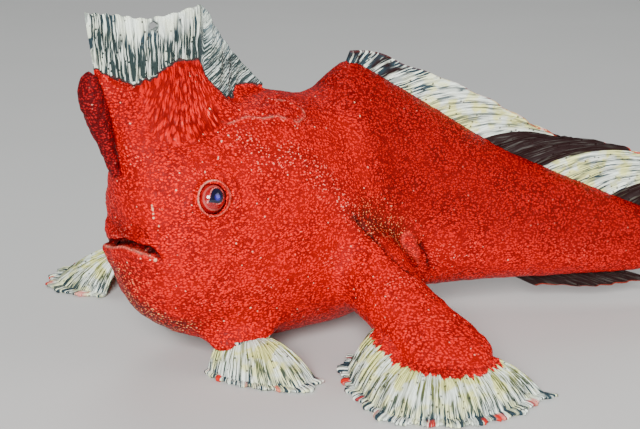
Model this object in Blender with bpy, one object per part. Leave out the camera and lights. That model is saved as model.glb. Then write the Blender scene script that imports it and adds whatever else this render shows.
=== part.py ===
"""Red handfish, an adult standing on its hand-like fins, at life size.

The fish heads toward -X, its left side faces -Y and +Z is up. The named sizes
are in millimetres. A place on the body is given by its distance along the bent
body axis from the mouth, its distance to the side (the fish's right is
positive) and its height over the floor.
"""

import math

import bmesh
import bpy
import numpy as np
from mathutils import Matrix, Vector

MM = 0.001
GAP = 0.3                # clearance between neighbouring pieces

# Body axis in plan: the head turns to the fish's left and so does the tail
HEAD_TURN = 14.0         # degrees
TAIL_TURN = -18.0
BEND_FROM = 24.6
BEND_TO = 54.6

# Where the body is parted, measured along its axis
NECK_CUT = 26.4
TAIL_CUT = 57.0
TAIL_END = 97.5

# Trunk sections: along, top, bottom, half width, height of widest point,
# roundness of the top (2 is an ellipse, less is a ridge, more is boxy)
TRUNK = (
    (0.0, 33.0, 14.5, 2.0, 24.0, 2.4),
    (0.6, 34.2, 12.6, 4.4, 22.5, 2.4),
    (2.0, 35.3, 10.2, 6.8, 20.0, 2.5),
    (4.5, 36.2, 7.4, 8.8, 18.0, 2.5),
    (8.5, 37.0, 4.8, 10.6, 17.0, 2.5),
    (14.0, 37.6, 2.8, 12.4, 16.0, 2.4),
    (20.0, 38.8, 1.9, 13.9, 15.0, 2.2),
    (26.0, 39.3, 1.6, 14.9, 14.5, 2.0),
    (33.5, 37.8, 1.7, 15.4, 14.0, 1.8),
    (36.8, 38.9, 2.0, 14.9, 13.7, 1.6),
    (39.8, 42.5, 2.6, 14.0, 13.5, 1.5),
    (42.0, 42.4, 3.2, 13.3, 13.4, 1.5),
    (47.0, 39.6, 4.4, 11.6, 13.2, 1.6),
    (55.0, 34.8, 5.2, 9.6, 13.4, 1.7),
    (66.0, 27.8, 5.4, 7.6, 13.0, 1.8),
    (77.0, 22.8, 5.2, 5.9, 12.0, 1.9),
    (90.0, 17.2, 5.2, 3.9, 10.8, 2.0),
    (97.5, 14.6, 5.8, 2.6, 10.2, 2.0),
)

# Fleshy root of the crest: height, front and rear along the axis, half thickness
CREST_ROOT = (
    (30.0, 1.2, 25.0, 6.5),
    (33.5, -0.3, 24.2, 5.6),
    (36.5, -1.3, 22.5, 4.5),
    (38.5, -1.9, 20.0, 3.7),
    (40.5, -2.8, 17.5, 2.8),
    (42.5, -3.6, 15.8, 2.0),
    (44.3, -4.1, 14.8, 1.3),
)

# Arms and legs: x, y, z, half breadth, half thickness, yaw of the broad side
ARM_LEFT = (
    (37.0, 0.0, 14.0, 7.0, 7.0, 0.0),
    (36.5, -7.5, 12.0, 6.0, 6.2, 0.0),
    (36.8, -13.5, 9.8, 5.6, 4.9, -8.0),
    (37.8, -19.0, 7.6, 6.2, 3.9, -18.0),
    (38.5, -24.0, 6.0, 6.9, 3.0, -24.0),
    (39.5, -28.4, 4.8, 6.2, 2.2, -28.0),
    (39.9, -30.6, 4.2, 4.0, 1.4, -28.0),
)
ARM_RIGHT = (
    (35.0, 10.0, 14.0, 7.0, 7.0, 10.0),
    (32.8, 19.0, 12.2, 6.3, 6.1, 20.0),
    (29.4, 26.0, 10.0, 5.6, 4.8, 28.0),
    (25.2, 32.6, 7.8, 5.8, 3.8, 32.0),
    (21.0, 38.4, 6.1, 6.8, 2.9, 38.0),
    (18.2, 42.4, 4.9, 5.6, 2.1, 42.0),
    (16.9, 44.2, 4.3, 3.2, 1.3, 42.0),
)
LEG_LEFT = (
    (17.0, 1.0, 8.4, 4.6, 4.0, -20.0),
    (16.3, -2.6, 6.6, 5.4, 3.0, -24.0),
    (16.0, -5.6, 5.1, 5.7, 2.0, -26.0),
    (15.9, -7.6, 4.4, 4.0, 1.3, -26.0),
)
LEG_RIGHT = (
    (17.5, 6.5, 8.0, 4.6, 4.0, 10.0),
    (18.2, 12.0, 6.2, 4.6, 3.0, 10.0),
    (18.8, 15.8, 4.9, 4.8, 2.1, 10.0),
    (19.0, 17.8, 4.2, 3.0, 1.4, 10.0),
)

# Where the arms are parted from the body, between their second and third rows
CUT_LEFT = 0.45
CUT_RIGHT = 0.85

# Fans of the hands and feet, spread about a centre in the palm:
# angle in plan, reach of the ray there, height of its tip and of its root
HAND_LEFT = (
    (126.0, 14.2, 1.6, 8.6),
    (136.0, 14.6, 0.8, 8.3),
    (151.0, 13.9, 0.0, 7.4),
    (177.0, 13.4, 0.0, 5.8),
    (198.0, 14.7, 0.0, 5.0),
    (214.0, 16.1, 0.0, 5.0),
    (241.0, 15.8, 0.0, 5.0),
    (277.0, 15.8, 0.0, 5.0),
    (302.0, 15.8, 0.0, 5.0),
    (316.0, 17.6, 0.0, 5.0),
)
HAND_RIGHT = (
    (18.0, 16.5, 1.0, 5.1),
    (50.0, 16.0, 0.0, 5.1),
    (90.0, 16.2, 0.0, 5.1),
    (128.0, 18.6, 0.0, 5.1),
    (160.0, 19.6, 0.0, 5.1),
    (182.0, 16.6, 0.0, 5.6),
    (202.0, 13.2, 0.0, 6.4),
)
FOOT_LEFT = (
    (186.0, 7.0, 0.0, 4.7),
    (224.0, 8.2, 0.0, 4.7),
    (251.0, 10.0, 0.0, 4.7),
    (270.0, 12.6, 0.0, 4.7),
    (281.0, 14.8, 0.0, 4.7),
    (300.0, 14.0, 0.0, 4.7),
)
FOOT_RIGHT = (
    (40.0, 12.6, 0.0, 4.7),
    (62.0, 13.6, 0.0, 4.7),
    (90.0, 12.8, 0.0, 4.7),
    (112.0, 11.4, 0.0, 4.7),
    (140.0, 8.6, 0.0, 4.7),
)
# centre, radius of the root, rays
HAND_LEFT_AT = ((38.4, -22.6), 5.6, 15)
HAND_RIGHT_AT = ((19.6, 39.8), 5.4, 15)
FOOT_LEFT_AT = ((17.4, -3.4), 3.4, 9)
FOOT_RIGHT_AT = ((18.4, 12.6), 3.4, 9)

# Crest (first dorsal fin): along and height of the root, along and height of
# the free edge; the fish's third spine stands at CREST_SPINE of the way
CREST = (
    (0.0, -2.6, 42.9, -4.0, 52.8),
    (0.2, 2.0, 42.6, 1.2, 52.1),
    (0.36, 5.6, 42.6, 5.6, 51.3),
    (0.46, 8.6, 42.8, 9.4, 51.6),
    (0.60, 13.4, 43.0, 14.4, 52.4),
    (0.74, 17.2, 39.4, 18.2, 48.2),
    (0.88, 21.2, 37.6, 22.2, 43.8),
    (1.00, 25.4, 38.2, 25.9, 39.9),
)
CREST_SPINE = 0.60
CREST_PLEATS = 16
CREST_FOLD = 0.8         # how far the folds behind that spine swing to each side

# Second dorsal fin, folded back: share of its base, degrees between the rays
# there and the back, length of the rays
DORSAL_FROM = 40.8
DORSAL_TO = 91.0
DORSAL_RAYS = 16
DORSAL = (
    (0.00, 78.0, 3.0),
    (0.06, 62.0, 4.2),
    (0.16, 43.0, 6.9),
    (0.30, 31.0, 11.2),
    (0.45, 26.0, 13.8),
    (0.62, 24.0, 15.8),
    (0.80, 26.0, 14.8),
    (1.00, 38.0, 11.5),
)

# Anal and tail fins
ANAL_FROM = 67.0
ANAL_TO = 85.5
ANAL_RAYS = 8
ANAL_LENGTH = 9.0
ANAL_LEAN = 24.0         # degrees between its folded rays and the tail
CAUDAL_RAYS = 9
CAUDAL_LENGTH = 23.5
CAUDAL_RAISE = 21.0      # degrees from level of the top ray
CAUDAL_DROOP = 20.5      # and of the lowest one

WEB = 0.6                # thickness of a fin between its rays
RAY = 1.15               # and at a ray's root

# Eye: where it sits on the left (the right one mirrors it), ball and lid
EYE_AT = (9.0, 9.3, 27.0)
EYE_RADIUS = 2.35
LID_RADIUS = 2.6
LID_THICK = 0.5

# Nostrils: along, side, height of each pair
NOSTRILS = ((0.5, 2.4, 24.4), (3.4, 7.4, 27.6))
NOSTRIL_RADIUS = 0.6

# Gill opening behind the arm and the flap in front of it: along, side, height
GILL_FLAP = (49.4, 10.4, 13.6)
GILL_FLAP_HALF = (1.3, 1.8, 2.9)
GILL_OPENING = (51.3, 10.8, 11.9)
GILL_OPENING_HALF = (0.8, 1.6, 2.1)
GILL_SLANT = -0.3        # radians, the upper end toward the head

# Mouth: along, side and height of the middle and the corner of its line
MOUTH_MIDDLE = (0.7, 0.0, 20.4)
MOUTH_CORNER = (2.2, 6.2, 19.3)
UPPER_LIP = 1.0
LOWER_LIP = 1.45

# Lure (illicium with its warty esca) in front of the crest: along, height,
# half width fore and aft, half width across
LURE = (
    (-0.2, 30.2, 0.9, 1.0),
    (-0.9, 32.0, 0.95, 1.1),
    (-1.5, 34.0, 1.1, 1.4),
    (-2.2, 36.4, 1.5, 1.7),
    (-3.0, 39.0, 1.8, 2.0),
    (-3.7, 41.2, 1.85, 2.1),
    (-3.9, 43.2, 1.5, 1.8),
    (-3.9, 44.9, 0.8, 1.1),
)


def ease(value, start, end):
    t = min(max((value - start) / (end - start), 0.0), 1.0)
    return t * t * (3.0 - 2.0 * t)


def turn(along):
    swing = ease(along, BEND_FROM, BEND_TO)
    return math.radians(HEAD_TURN + (TAIL_TURN - HEAD_TURN) * swing)


AXIS_STEP = 0.25
AXIS_AT = np.arange(-20.0, 140.1, AXIS_STEP)
AXIS_TURN = np.array([turn(along) for along in AXIS_AT])


def running_sum(rates):
    steps = (rates[1:] + rates[:-1]) / 2.0 * AXIS_STEP
    total = np.concatenate(([0.0], np.cumsum(steps)))
    return total - np.interp(0.0, AXIS_AT, total)


AXIS_X = running_sum(np.cos(AXIS_TURN))
AXIS_Y = running_sum(np.sin(AXIS_TURN))


def place(along, side, height):
    """Point in model space of a place on the body."""
    angle = turn(along)
    return Vector((
        float(np.interp(along, AXIS_AT, AXIS_X)) - math.sin(angle) * side,
        float(np.interp(along, AXIS_AT, AXIS_Y)) + math.cos(angle) * side,
        height))


def through(table, column, at):
    """Smooth value of one column of a table, with no overshoot between its rows."""
    knots = [row[0] for row in table]
    values = [row[column] for row in table]
    spans = [b - a for a, b in zip(knots, knots[1:])]
    rises = [(b - a) / s for a, b, s in zip(values, values[1:], spans)]
    slopes = [rises[0]]
    for before, after in zip(rises, rises[1:]):
        same_way = before * after > 0.0
        slopes.append(2.0 * before * after / (before + after) if same_way else 0.0)
    slopes.append(rises[-1])
    at = min(max(at, knots[0]), knots[-1])
    i = min(max(sum(1 for k in knots if k <= at) - 1, 0), len(spans) - 1)
    t = (at - knots[i]) / spans[i]
    return ((1 + 2 * t) * (1 - t) ** 2 * values[i] + t * t * (3 - 2 * t) * values[i + 1]
            + (t * (1 - t) ** 2 * slopes[i] - t * t * (1 - t) * slopes[i + 1]) * spans[i])


def oval(angle, roundness):
    """Point of a unit superellipse."""
    c, s = math.cos(angle), math.sin(angle)
    return (math.copysign(abs(c) ** (2.0 / roundness), c),
            math.copysign(abs(s) ** (2.0 / roundness), s))


def loft(rings):
    """Closed skin through rings of equal count, with flat ends."""
    count = len(rings[0])
    points = [p for ring in rings for p in ring]
    faces = []
    for i in range(len(rings) - 1):
        for j in range(count):
            a, b = i * count + j, i * count + (j + 1) % count
            faces.append((a, b, b + count, a + count))
    faces.append(tuple(reversed(range(count))))
    faces.append(tuple(range(len(points) - count, len(points))))
    return points, faces


def tube(path, radii, sides=12):
    """Round rod through the path, with the radius given at each of its points."""
    rings = []
    for i, here in enumerate(path):
        way = (path[min(i + 1, len(path) - 1)] - path[max(i - 1, 0)]).normalized()
        across = way.cross(Vector((0.0, 0.0, 1.0)))
        if across.length < 0.1:
            across = way.cross(Vector((0.0, 1.0, 0.0)))
        across.normalize()
        up = across.cross(way)
        rings.append([here + (across * math.cos(a) + up * math.sin(a)) * radii[i]
                      for a in (2.0 * math.pi * k / sides for k in range(sides))])
    return loft(rings)


def trunk_section(along, angle):
    """Place on the trunk's skin: the angle runs from the right over the top."""
    top, bottom, half, widest, round_top = (
        through(TRUNK, column, along) for column in range(1, 6))
    u, v = oval(angle, round_top if math.sin(angle) > 0.0 else 2.2)
    return place(along, u * half, widest + v * (top - widest if v > 0.0 else widest - bottom))


def trunk_shape():
    front = [0.0, 0.3, 0.6, 1.2, 2.0, 3.2]
    return loft([[trunk_section(along, 2.0 * math.pi * k / 32) for k in range(32)]
                 for along in front + list(np.linspace(4.5, TAIL_END, 48))])


def crest_root_shape():
    rings = []
    for height in np.linspace(CREST_ROOT[0][0], CREST_ROOT[-1][0], 12):
        front, rear, half = (through(CREST_ROOT, column, height) for column in (1, 2, 3))
        ring = []
        for k in range(32):
            u, v = oval(2.0 * math.pi * k / 32, 2.4)
            ring.append(place((front + rear) / 2 + u * (rear - front) / 2, v * half, height))
        rings.append(ring)
    return loft(rings)


def limb_frame(rows, i):
    here = Vector(rows[i][:3])
    way = Vector(rows[min(i + 1, len(rows) - 1)][:3]) - Vector(rows[max(i - 1, 0)][:3])
    way.normalize()
    yaw = math.radians(rows[i][5])
    broad = Vector((math.cos(yaw), math.sin(yaw), 0.0))
    broad = (broad - way * broad.dot(way)).normalized()
    return here, way, broad, way.cross(broad)


def limb_shape(rows):
    rings = []
    for i, row in enumerate(rows):
        here, _, broad, thick = limb_frame(rows, i)
        rings.append([here + broad * row[3] * math.cos(a) + thick * row[4] * math.sin(a)
                      for a in (2.0 * math.pi * k / 24 for k in range(24))])
    return loft(rings)


def mouth_point(t, out, lift):
    """Place on the mouth's line, t from the left corner (-1) to the right (1)."""
    bend = 1.0 - math.cos(t * math.pi / 2)
    along = MOUTH_MIDDLE[0] + (MOUTH_CORNER[0] - MOUTH_MIDDLE[0]) * bend
    side = MOUTH_CORNER[1] * math.sin(t * math.pi / 2)
    height = MOUTH_MIDDLE[2] + (MOUTH_CORNER[2] - MOUTH_MIDDLE[2]) * bend
    slant = t * math.pi / 2 * 0.7
    return place(along - out * math.cos(slant), side + out * math.sin(slant), height + lift)


def lip_shape(radius, out, lift):
    steps = [k / 10 for k in range(-10, 11)]
    return tube([mouth_point(t, out * (1 - t * t), lift * (1 - 0.5 * t * t)) for t in steps],
                [radius * (1.0 - 0.35 * t * t) for t in steps])


def mouth_slit():
    """Wedge that opens the mouth: tall at the lips and thin inside."""
    rings = []
    for k in range(-12, 13):
        t = k / 12
        open_by = 0.75 - 0.35 * t * t
        rings.append([mouth_point(t, out, lift) for out, lift in (
            (3.0, -open_by), (3.0, open_by), (-1.6, 0.25), (-1.6, -0.25))])
    return loft(rings)


def ball(centre, radius, segments=20, rings=12):
    return egg(centre, (radius, radius, radius), segments=segments, rings=rings)


def egg(centre, half, spin=0.0, lean=0.0, segments=12, rings=8):
    """Ellipsoid of the half sizes given, spun in plan and leant back."""
    pose = Matrix.Rotation(spin, 3, "Z") @ Matrix.Rotation(lean, 3, "Y")
    unit = [Vector((0.0, 0.0, 1.0))]
    for i in range(1, rings):
        down = math.pi * i / rings
        for j in range(segments):
            a = 2.0 * math.pi * j / segments
            unit.append(Vector((math.sin(down) * math.cos(a), math.sin(down) * math.sin(a),
                                math.cos(down))))
    unit.append(Vector((0.0, 0.0, -1.0)))
    points = [Vector(centre) + pose @ Vector([c * h for c, h in zip(u, half)]) for u in unit]
    last = len(points) - 1
    faces = []
    for j in range(segments):
        k = (j + 1) % segments
        faces.append((0, 1 + j, 1 + k))
        faces.append((last, last - segments + k, last - segments + j))
        for i in range(rings - 2):
            a, b = 1 + i * segments + j, 1 + i * segments + k
            faces.append((a, a + segments, b + segments, b))
    return points, faces


def ring_shape(centre, axis, radius, thick, around=24, sides=8):
    turn_to = Vector(axis).to_track_quat("Z", "Y")
    points, faces = [], []
    for i in range(around):
        a = 2.0 * math.pi * i / around
        for j in range(sides):
            b = 2.0 * math.pi * j / sides
            reach = radius + thick * math.cos(b)
            points.append(Vector(centre) + turn_to @ Vector((
                reach * math.cos(a), reach * math.sin(a), thick * math.sin(b))))
            k, n = (i + 1) % around, (j + 1) % sides
            faces.append((i * sides + j, k * sides + j, k * sides + n, i * sides + n))
    return points, faces


def eye_frame(sign):
    """Centre of the ball and the way it looks, on the left (-1) or right (1)."""
    along, side, height = EYE_AT
    centre = place(along, sign * side, height)
    out = place(along - 0.12, sign * (side + 1.0), height + 0.22) - centre
    return centre - out.normalized() * 0.55, out.normalized()


def sheet(middle, rays, rows, web=WEB, ray=RAY, steps=2):
    """Fin with ray ridges raised in both faces and the same triangles on each.

    middle(t, r) gives the mid surface: t runs across the rays and r along them.
    steps columns lead from one ray to the next. The fin is flat where it meets
    the floor.
    """
    columns = (rays - 1) * steps + 1
    grid = [[Vector(middle(j / (columns - 1), i / rows)) for j in range(columns)]
            for i in range(rows + 1)]
    near, far = [], []
    for i in range(rows + 1):
        r = i / rows
        for j in range(columns):
            across = grid[i][min(j + 1, columns - 1)] - grid[i][max(j - 1, 0)]
            out = grid[min(i + 1, rows)][j] - grid[max(i - 1, 0)][j]
            normal = across.cross(out).normalized()
            ridge = math.cos(math.pi * j / steps) ** 2
            half = (web + (ray - web) * ridge * (1.0 - 0.45 * r)) / 2
            a, b = grid[i][j] + normal * half, grid[i][j] - normal * half
            for face, other in ((a, b), (b, a)):
                if face.z < 0.0:
                    face.z = 0.0
                    if abs(normal.z) > 0.5:
                        other.z = max(other.z, 1.8 * half)
            near.append(a)
            far.append(b)
    points = near + far
    shift = len(near)
    faces = []

    def quad(a, b, c, d):
        faces.extend([(a, b, c), (a, c, d)])

    for i in range(rows):
        for j in range(columns - 1):
            a = i * columns + j
            b, c, d = a + 1, a + columns + 1, a + columns
            quad(a, b, c, d)
            faces.extend([(a + shift, c + shift, b + shift), (a + shift, d + shift, c + shift)])
    edge = list(range(columns))
    edge += [i * columns + columns - 1 for i in range(1, rows + 1)]
    edge += [rows * columns + j for j in range(columns - 2, -1, -1)]
    edge += [i * columns for i in range(rows - 1, 0, -1)]
    for a, b in zip(edge, edge[1:] + edge[:1]):
        quad(b, a, a + shift, b + shift)
    return points, faces


def fan(rows_of, at):
    """Fan of a hand or foot, arched from the palm down to the floor."""
    (cx, cy), root_radius, rays = at
    first, last = rows_of[0][0], rows_of[-1][0]

    def middle(t, r):
        angle = first + (last - first) * t
        reach = through(rows_of, 1, angle)
        tip = through(rows_of, 2, angle)
        root_height = through(rows_of, 3, angle)
        notch = 0.93 + 0.07 * math.cos(math.pi * t * (rays - 1)) ** 2
        radius = root_radius + (reach * notch - root_radius) * r
        u = min(max((radius - root_radius) / (0.86 * reach - root_radius), 0.0), 1.0)
        height = tip + 0.45 + (root_height - tip - 0.45) * (1.0 - u ** 2.2)
        a = math.radians(angle)
        return cx + radius * math.cos(a), cy + radius * math.sin(a), height

    return sheet(middle, rays, 6)


def crest_fin():
    pleats = CREST_PLEATS

    def middle(t, r):
        low = place(through(CREST, 1, t), 0.0, through(CREST, 2, t))
        high = place(through(CREST, 3, t), 0.0, through(CREST, 4, t))
        sway = 0.5 * math.sin(t * 9.0) * r
        if t > CREST_SPINE:
            fold = (t - CREST_SPINE) / (1.0 - CREST_SPINE)
            sway += 0.4 * math.sin(fold * math.pi) * r
            sway -= CREST_FOLD * math.sin(fold * 2 * math.pi) * 4 * r * (1 - r)
        notch = 0.985 + 0.015 * math.cos(math.pi * t * (pleats - 1)) ** 2
        here = low + (high - low) * r * notch
        angle = turn(through(CREST, 3, t))
        return here + Vector((-math.sin(angle), math.cos(angle), 0.0)) * sway

    return sheet(middle, pleats, 5, ray=1.0)


def dorsal_fin():
    def middle(t, r):
        along = DORSAL_FROM + (DORSAL_TO - DORSAL_FROM) * t
        root = through(TRUNK, 1, along) - 1.3
        slope = math.atan2(through(TRUNK, 1, along + 2.0) - through(TRUNK, 1, along - 2.0), 4.0)
        angle = math.radians(through(DORSAL, 1, t)) + slope
        notch = 0.94 + 0.06 * math.cos(math.pi * t * (DORSAL_RAYS - 1)) ** 2
        reach = through(DORSAL, 2, t) * r * notch
        side = (0.45 * math.sin(t * 17.0) - 0.5) * r
        return place(along + math.cos(angle) * reach, side, root + math.sin(angle) * reach)

    return sheet(middle, DORSAL_RAYS, 4)


def anal_fin():
    def middle(t, r):
        along = ANAL_FROM + (ANAL_TO - ANAL_FROM) * t
        root = through(TRUNK, 2, along) + 1.0
        notch = 0.94 + 0.06 * math.cos(math.pi * t * (ANAL_RAYS - 1)) ** 2
        lean = math.radians(ANAL_LEAN * (1.0 - 0.3 * t))
        reach = ANAL_LENGTH * (0.75 + 0.25 * ease(t, 0.0, 0.4)) * r * notch
        side = -0.7 * r * r + 0.3 * math.sin(t * 9.0) * r
        return place(along + math.cos(lean) * reach, side, root - math.sin(lean) * reach)

    return sheet(middle, ANAL_RAYS, 4)


def caudal_fin():
    top, bottom = through(TRUNK, 1, TAIL_END), through(TRUNK, 2, TAIL_END)

    def middle(t, r):
        root = bottom + 1.0 + (top - bottom - 2.0) * t
        angle = math.radians(-CAUDAL_DROOP + (CAUDAL_RAISE + CAUDAL_DROOP) * t)
        length = CAUDAL_LENGTH * (0.84 + 0.16 * math.sin(math.pi * t))
        notch = 0.95 + 0.05 * math.cos(math.pi * t * (CAUDAL_RAYS - 1)) ** 2
        reach = length * r * notch
        side = -0.010 * reach * reach + 0.5 * math.sin(t * 6.0 + r * 2.0) * r
        height = max(root + math.sin(angle) * reach, 0.0)
        return place(TAIL_END - 2.0 + math.cos(angle) * reach, side, height)

    return sheet(middle, CAUDAL_RAYS, 6)


def lure_shape():
    rings = []
    for i, (along, height, fore, across) in enumerate(LURE):
        after, before = LURE[min(i + 1, len(LURE) - 1)], LURE[max(i - 1, 0)]
        lean = math.atan2(after[1] - before[1], after[0] - before[0])
        ring = []
        for k in range(14):
            a = 2.0 * math.pi * k / 14
            ring.append(place(along + fore * math.cos(a) * math.sin(lean), across * math.sin(a),
                              height - fore * math.cos(a) * math.cos(lean)))
        rings.append(ring)
    return loft(rings)


def mesh_object(name, shapes):
    """One object from closed shapes in millimetres, with their faces pointing out."""
    bm = bmesh.new()
    for points, faces in shapes:
        verts = [bm.verts.new(Vector(p) * MM) for p in points]
        for face in faces:
            bm.faces.new([verts[k] for k in face])
    bmesh.ops.recalc_face_normals(bm, faces=bm.faces)
    mesh = bpy.data.meshes.new(name)
    bm.to_mesh(mesh)
    bm.free()
    obj = bpy.data.objects.new(name, mesh)
    bpy.context.scene.collection.objects.link(obj)
    return obj


def apply_modifiers(obj):
    depsgraph = bpy.context.evaluated_depsgraph_get()
    mesh = bpy.data.meshes.new_from_object(obj.evaluated_get(depsgraph))
    obj.modifiers.clear()
    obj.data = mesh


def islands(bm):
    """Closed surfaces of a mesh, each as a list of faces in their order."""
    bm.faces.index_update()
    seen, found = set(), []
    for start in bm.faces:
        if start.index in seen:
            continue
        seen.add(start.index)
        stack, island = [start], []
        while stack:
            face = stack.pop()
            island.append(face)
            for edge in face.edges:
                for other in edge.link_faces:
                    if other.index not in seen:
                        seen.add(other.index)
                        stack.append(other)
        found.append(sorted(island, key=lambda face: face.index))
    return found


def keep_largest(obj):
    bm = bmesh.new()
    bm.from_mesh(obj.data)
    for island in sorted(islands(bm), key=len)[:-1]:
        bmesh.ops.delete(bm, geom=island, context="FACES")
    bm.to_mesh(obj.data)
    bm.free()


def combine(obj, shapes, operation, solver="EXACT"):
    """Cut closed shapes from the object, or join them to it."""
    for shape in shapes:
        other = shape if isinstance(shape, bpy.types.Object) else mesh_object("tool", [shape])
        boolean = obj.modifiers.new("shape", "BOOLEAN")
        boolean.operation = operation
        boolean.solver = solver
        boolean.object = other
        apply_modifiers(obj)
        if other is not shape:
            bpy.data.objects.remove(other)


def slab(centre, way, across, half_across, half_up):
    """Box across the body, GAP thick along the way given."""
    way = way.normalized()
    up = way.cross(across).normalized()
    across = up.cross(way)
    corners = [centre + way * (GAP / 2 * x) + across * (half_across * y) + up * (half_up * z)
               for x in (-1, 1) for y in (-1, 1) for z in (-1, 1)]
    faces = ((0, 1, 3, 2), (4, 6, 7, 5), (0, 4, 5, 1), (2, 3, 7, 6), (0, 2, 6, 4), (1, 5, 7, 3))
    return corners, faces


def body_slab(along, half_across):
    here, after = place(along, 0.0, 20.0), place(along + 1.0, 0.0, 20.0)
    return slab(here, after - here, place(along, 1.0, 20.0) - here, half_across, 26.0)


def limb_slab(rows, share):
    """Slab across a limb, a share of the way from its second row to its third."""
    here, way, broad, thick = limb_frame(rows, 1)
    return slab(here.lerp(Vector(rows[2][:3]), share), way, broad, 11.0, 8.6)


def part_flesh(whole, inside):
    """Split the cut body into one object for each name, by the nearest inner point."""
    bm = bmesh.new()
    bm.from_mesh(whole.data)
    nodes = {}
    found = sorted(islands(bm), key=len)[-len(inside):]
    for name, point in inside.items():
        def away(island):
            centre = sum((f.calc_center_median() for f in island), Vector()) / len(island)
            return (centre - point * MM).length
        island = min(found, key=away)
        verts = {}
        for vert in (v for f in island for v in f.verts):
            verts.setdefault(vert, len(verts))
        mesh = bpy.data.meshes.new(name)
        mesh.from_pydata([v.co for v in verts], [], [[verts[v] for v in f.verts] for f in island])
        nodes[name] = bpy.data.objects.new(name, mesh)
        bpy.context.scene.collection.objects.link(nodes[name])
    bm.free()
    bpy.data.objects.remove(whole)
    return nodes


def finish(name, colour, roughness):
    material = bpy.data.materials.new(name)
    material.use_nodes = True
    shader = material.node_tree.nodes["Principled BSDF"]
    shader.inputs["Base Color"].default_value = (*colour, 1.0)
    shader.inputs["Roughness"].default_value = roughness
    shader.inputs["Metallic"].default_value = 0.0
    return material


for old in list(bpy.data.objects):
    bpy.data.objects.remove(old)

# The flesh is modelled whole, so that limbs and crest grow out of the body
flesh = mesh_object("flesh", [
    trunk_shape(), crest_root_shape(),
    limb_shape(ARM_LEFT), limb_shape(ARM_RIGHT), limb_shape(LEG_LEFT), limb_shape(LEG_RIGHT),
    lip_shape(UPPER_LIP, 0.1, 1.5), lip_shape(LOWER_LIP, 0.2, -1.8),
    ball(eye_frame(-1)[0] - eye_frame(-1)[1] * 1.4, 3.9),
    ball(eye_frame(1)[0] - eye_frame(1)[1] * 1.4, 3.9)])
remesh = flesh.modifiers.new("one skin", "REMESH")
remesh.mode = "VOXEL"
remesh.voxel_size = 0.9 * MM
soften = flesh.modifiers.new("soften", "SMOOTH")
soften.factor = 0.5
soften.iterations = 6
fewer = flesh.modifiers.new("fewer faces", "DECIMATE")
fewer.ratio = 0.15
apply_modifiers(flesh)

# A copy grown by the gap trims every fin and the lure to the body
trim = flesh.copy()
trim.data = flesh.data.copy()
bpy.context.scene.collection.objects.link(trim)
grown = [v.co + v.normal * (GAP * MM) for v in trim.data.vertices]
for vert, co in zip(trim.data.vertices, grown):
    vert.co = co

fins = {
    "first_dorsal_fin": crest_fin(),
    "second_dorsal_fin": dorsal_fin(),
    "anal_fin": anal_fin(),
    "caudal_fin": caudal_fin(),
    "pectoral_fin_left": fan(HAND_LEFT, HAND_LEFT_AT),
    "pectoral_fin_right": fan(HAND_RIGHT, HAND_RIGHT_AT),
    "pelvic_fin_left": fan(FOOT_LEFT, FOOT_LEFT_AT),
    "pelvic_fin_right": fan(FOOT_RIGHT, FOOT_RIGHT_AT),
    "lure": lure_shape(),
}
for name, shape in fins.items():
    fin = mesh_object(name, [shape])
    combine(fin, [trim], "DIFFERENCE")
    keep_largest(fin)
bpy.data.objects.remove(trim)

# Part the flesh with thin cuts
cuts = [body_slab(NECK_CUT, 18.0), body_slab(TAIL_CUT, 16.0),
        limb_slab(ARM_LEFT, CUT_LEFT), limb_slab(ARM_RIGHT, CUT_RIGHT)]
combine(flesh, cuts, "DIFFERENCE", solver="MANIFOLD")
body = part_flesh(flesh, {
    "head": place(12.0, 0.0, 20.0),
    "torso": place(40.0, 0.0, 20.0),
    "tail": place(75.0, 0.0, 14.0),
    "pectoral_arm_left": Vector(ARM_LEFT[4][:3]),
    "pectoral_arm_right": Vector(ARM_RIGHT[4][:3]),
})

# Lids, sockets, mouth, nostrils and gills
head, torso = body["head"], body["torso"]
for sign, side in ((-1, "left"), (1, "right")):
    centre, out = eye_frame(sign)
    combine(head, [ring_shape(centre + out * 1.2, out, LID_RADIUS, LID_THICK)], "UNION")
    combine(head, [ball(centre, EYE_RADIUS + GAP)], "DIFFERENCE")
    mesh_object("eye_" + side, [ball(centre, EYE_RADIUS)])
    combine(head, [egg(place(along, sign * aside, height), [NOSTRIL_RADIUS] * 3, rings=6)
                   for along, aside, height in NOSTRILS], "DIFFERENCE")
    along, aside, height = GILL_FLAP
    combine(torso, [egg(place(along, sign * aside, height), GILL_FLAP_HALF, turn(along), GILL_SLANT)],
            "UNION")
    along, aside, height = GILL_OPENING
    combine(torso, [egg(place(along, sign * aside, height), GILL_OPENING_HALF, turn(along), GILL_SLANT)],
            "DIFFERENCE")
combine(head, [mouth_slit()], "DIFFERENCE")
for node in body.values():
    keep_largest(node)

# One finish for each piece
skin = finish("red skin", (0.72, 0.035, 0.02), 0.5)
web = finish("white fin", (0.82, 0.80, 0.72), 0.45)
banded = finish("banded fin", (0.70, 0.66, 0.50), 0.45)
dark_eye = finish("eye", (0.02, 0.012, 0.08), 0.08)
looks = {"lure": skin, "anal_fin": skin, "second_dorsal_fin": banded, "caudal_fin": banded,
         "eye_left": dark_eye, "eye_right": dark_eye}
nodes = [obj for obj in bpy.data.objects if obj.type == "MESH"]
for obj in nodes:
    obj.data.materials.clear()
    obj.data.materials.append(looks.get(obj.name, web if "fin" in obj.name else skin))
    obj.data.shade_smooth()
    obj.data.set_sharp_from_angle(angle=math.radians(50.0))

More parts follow.
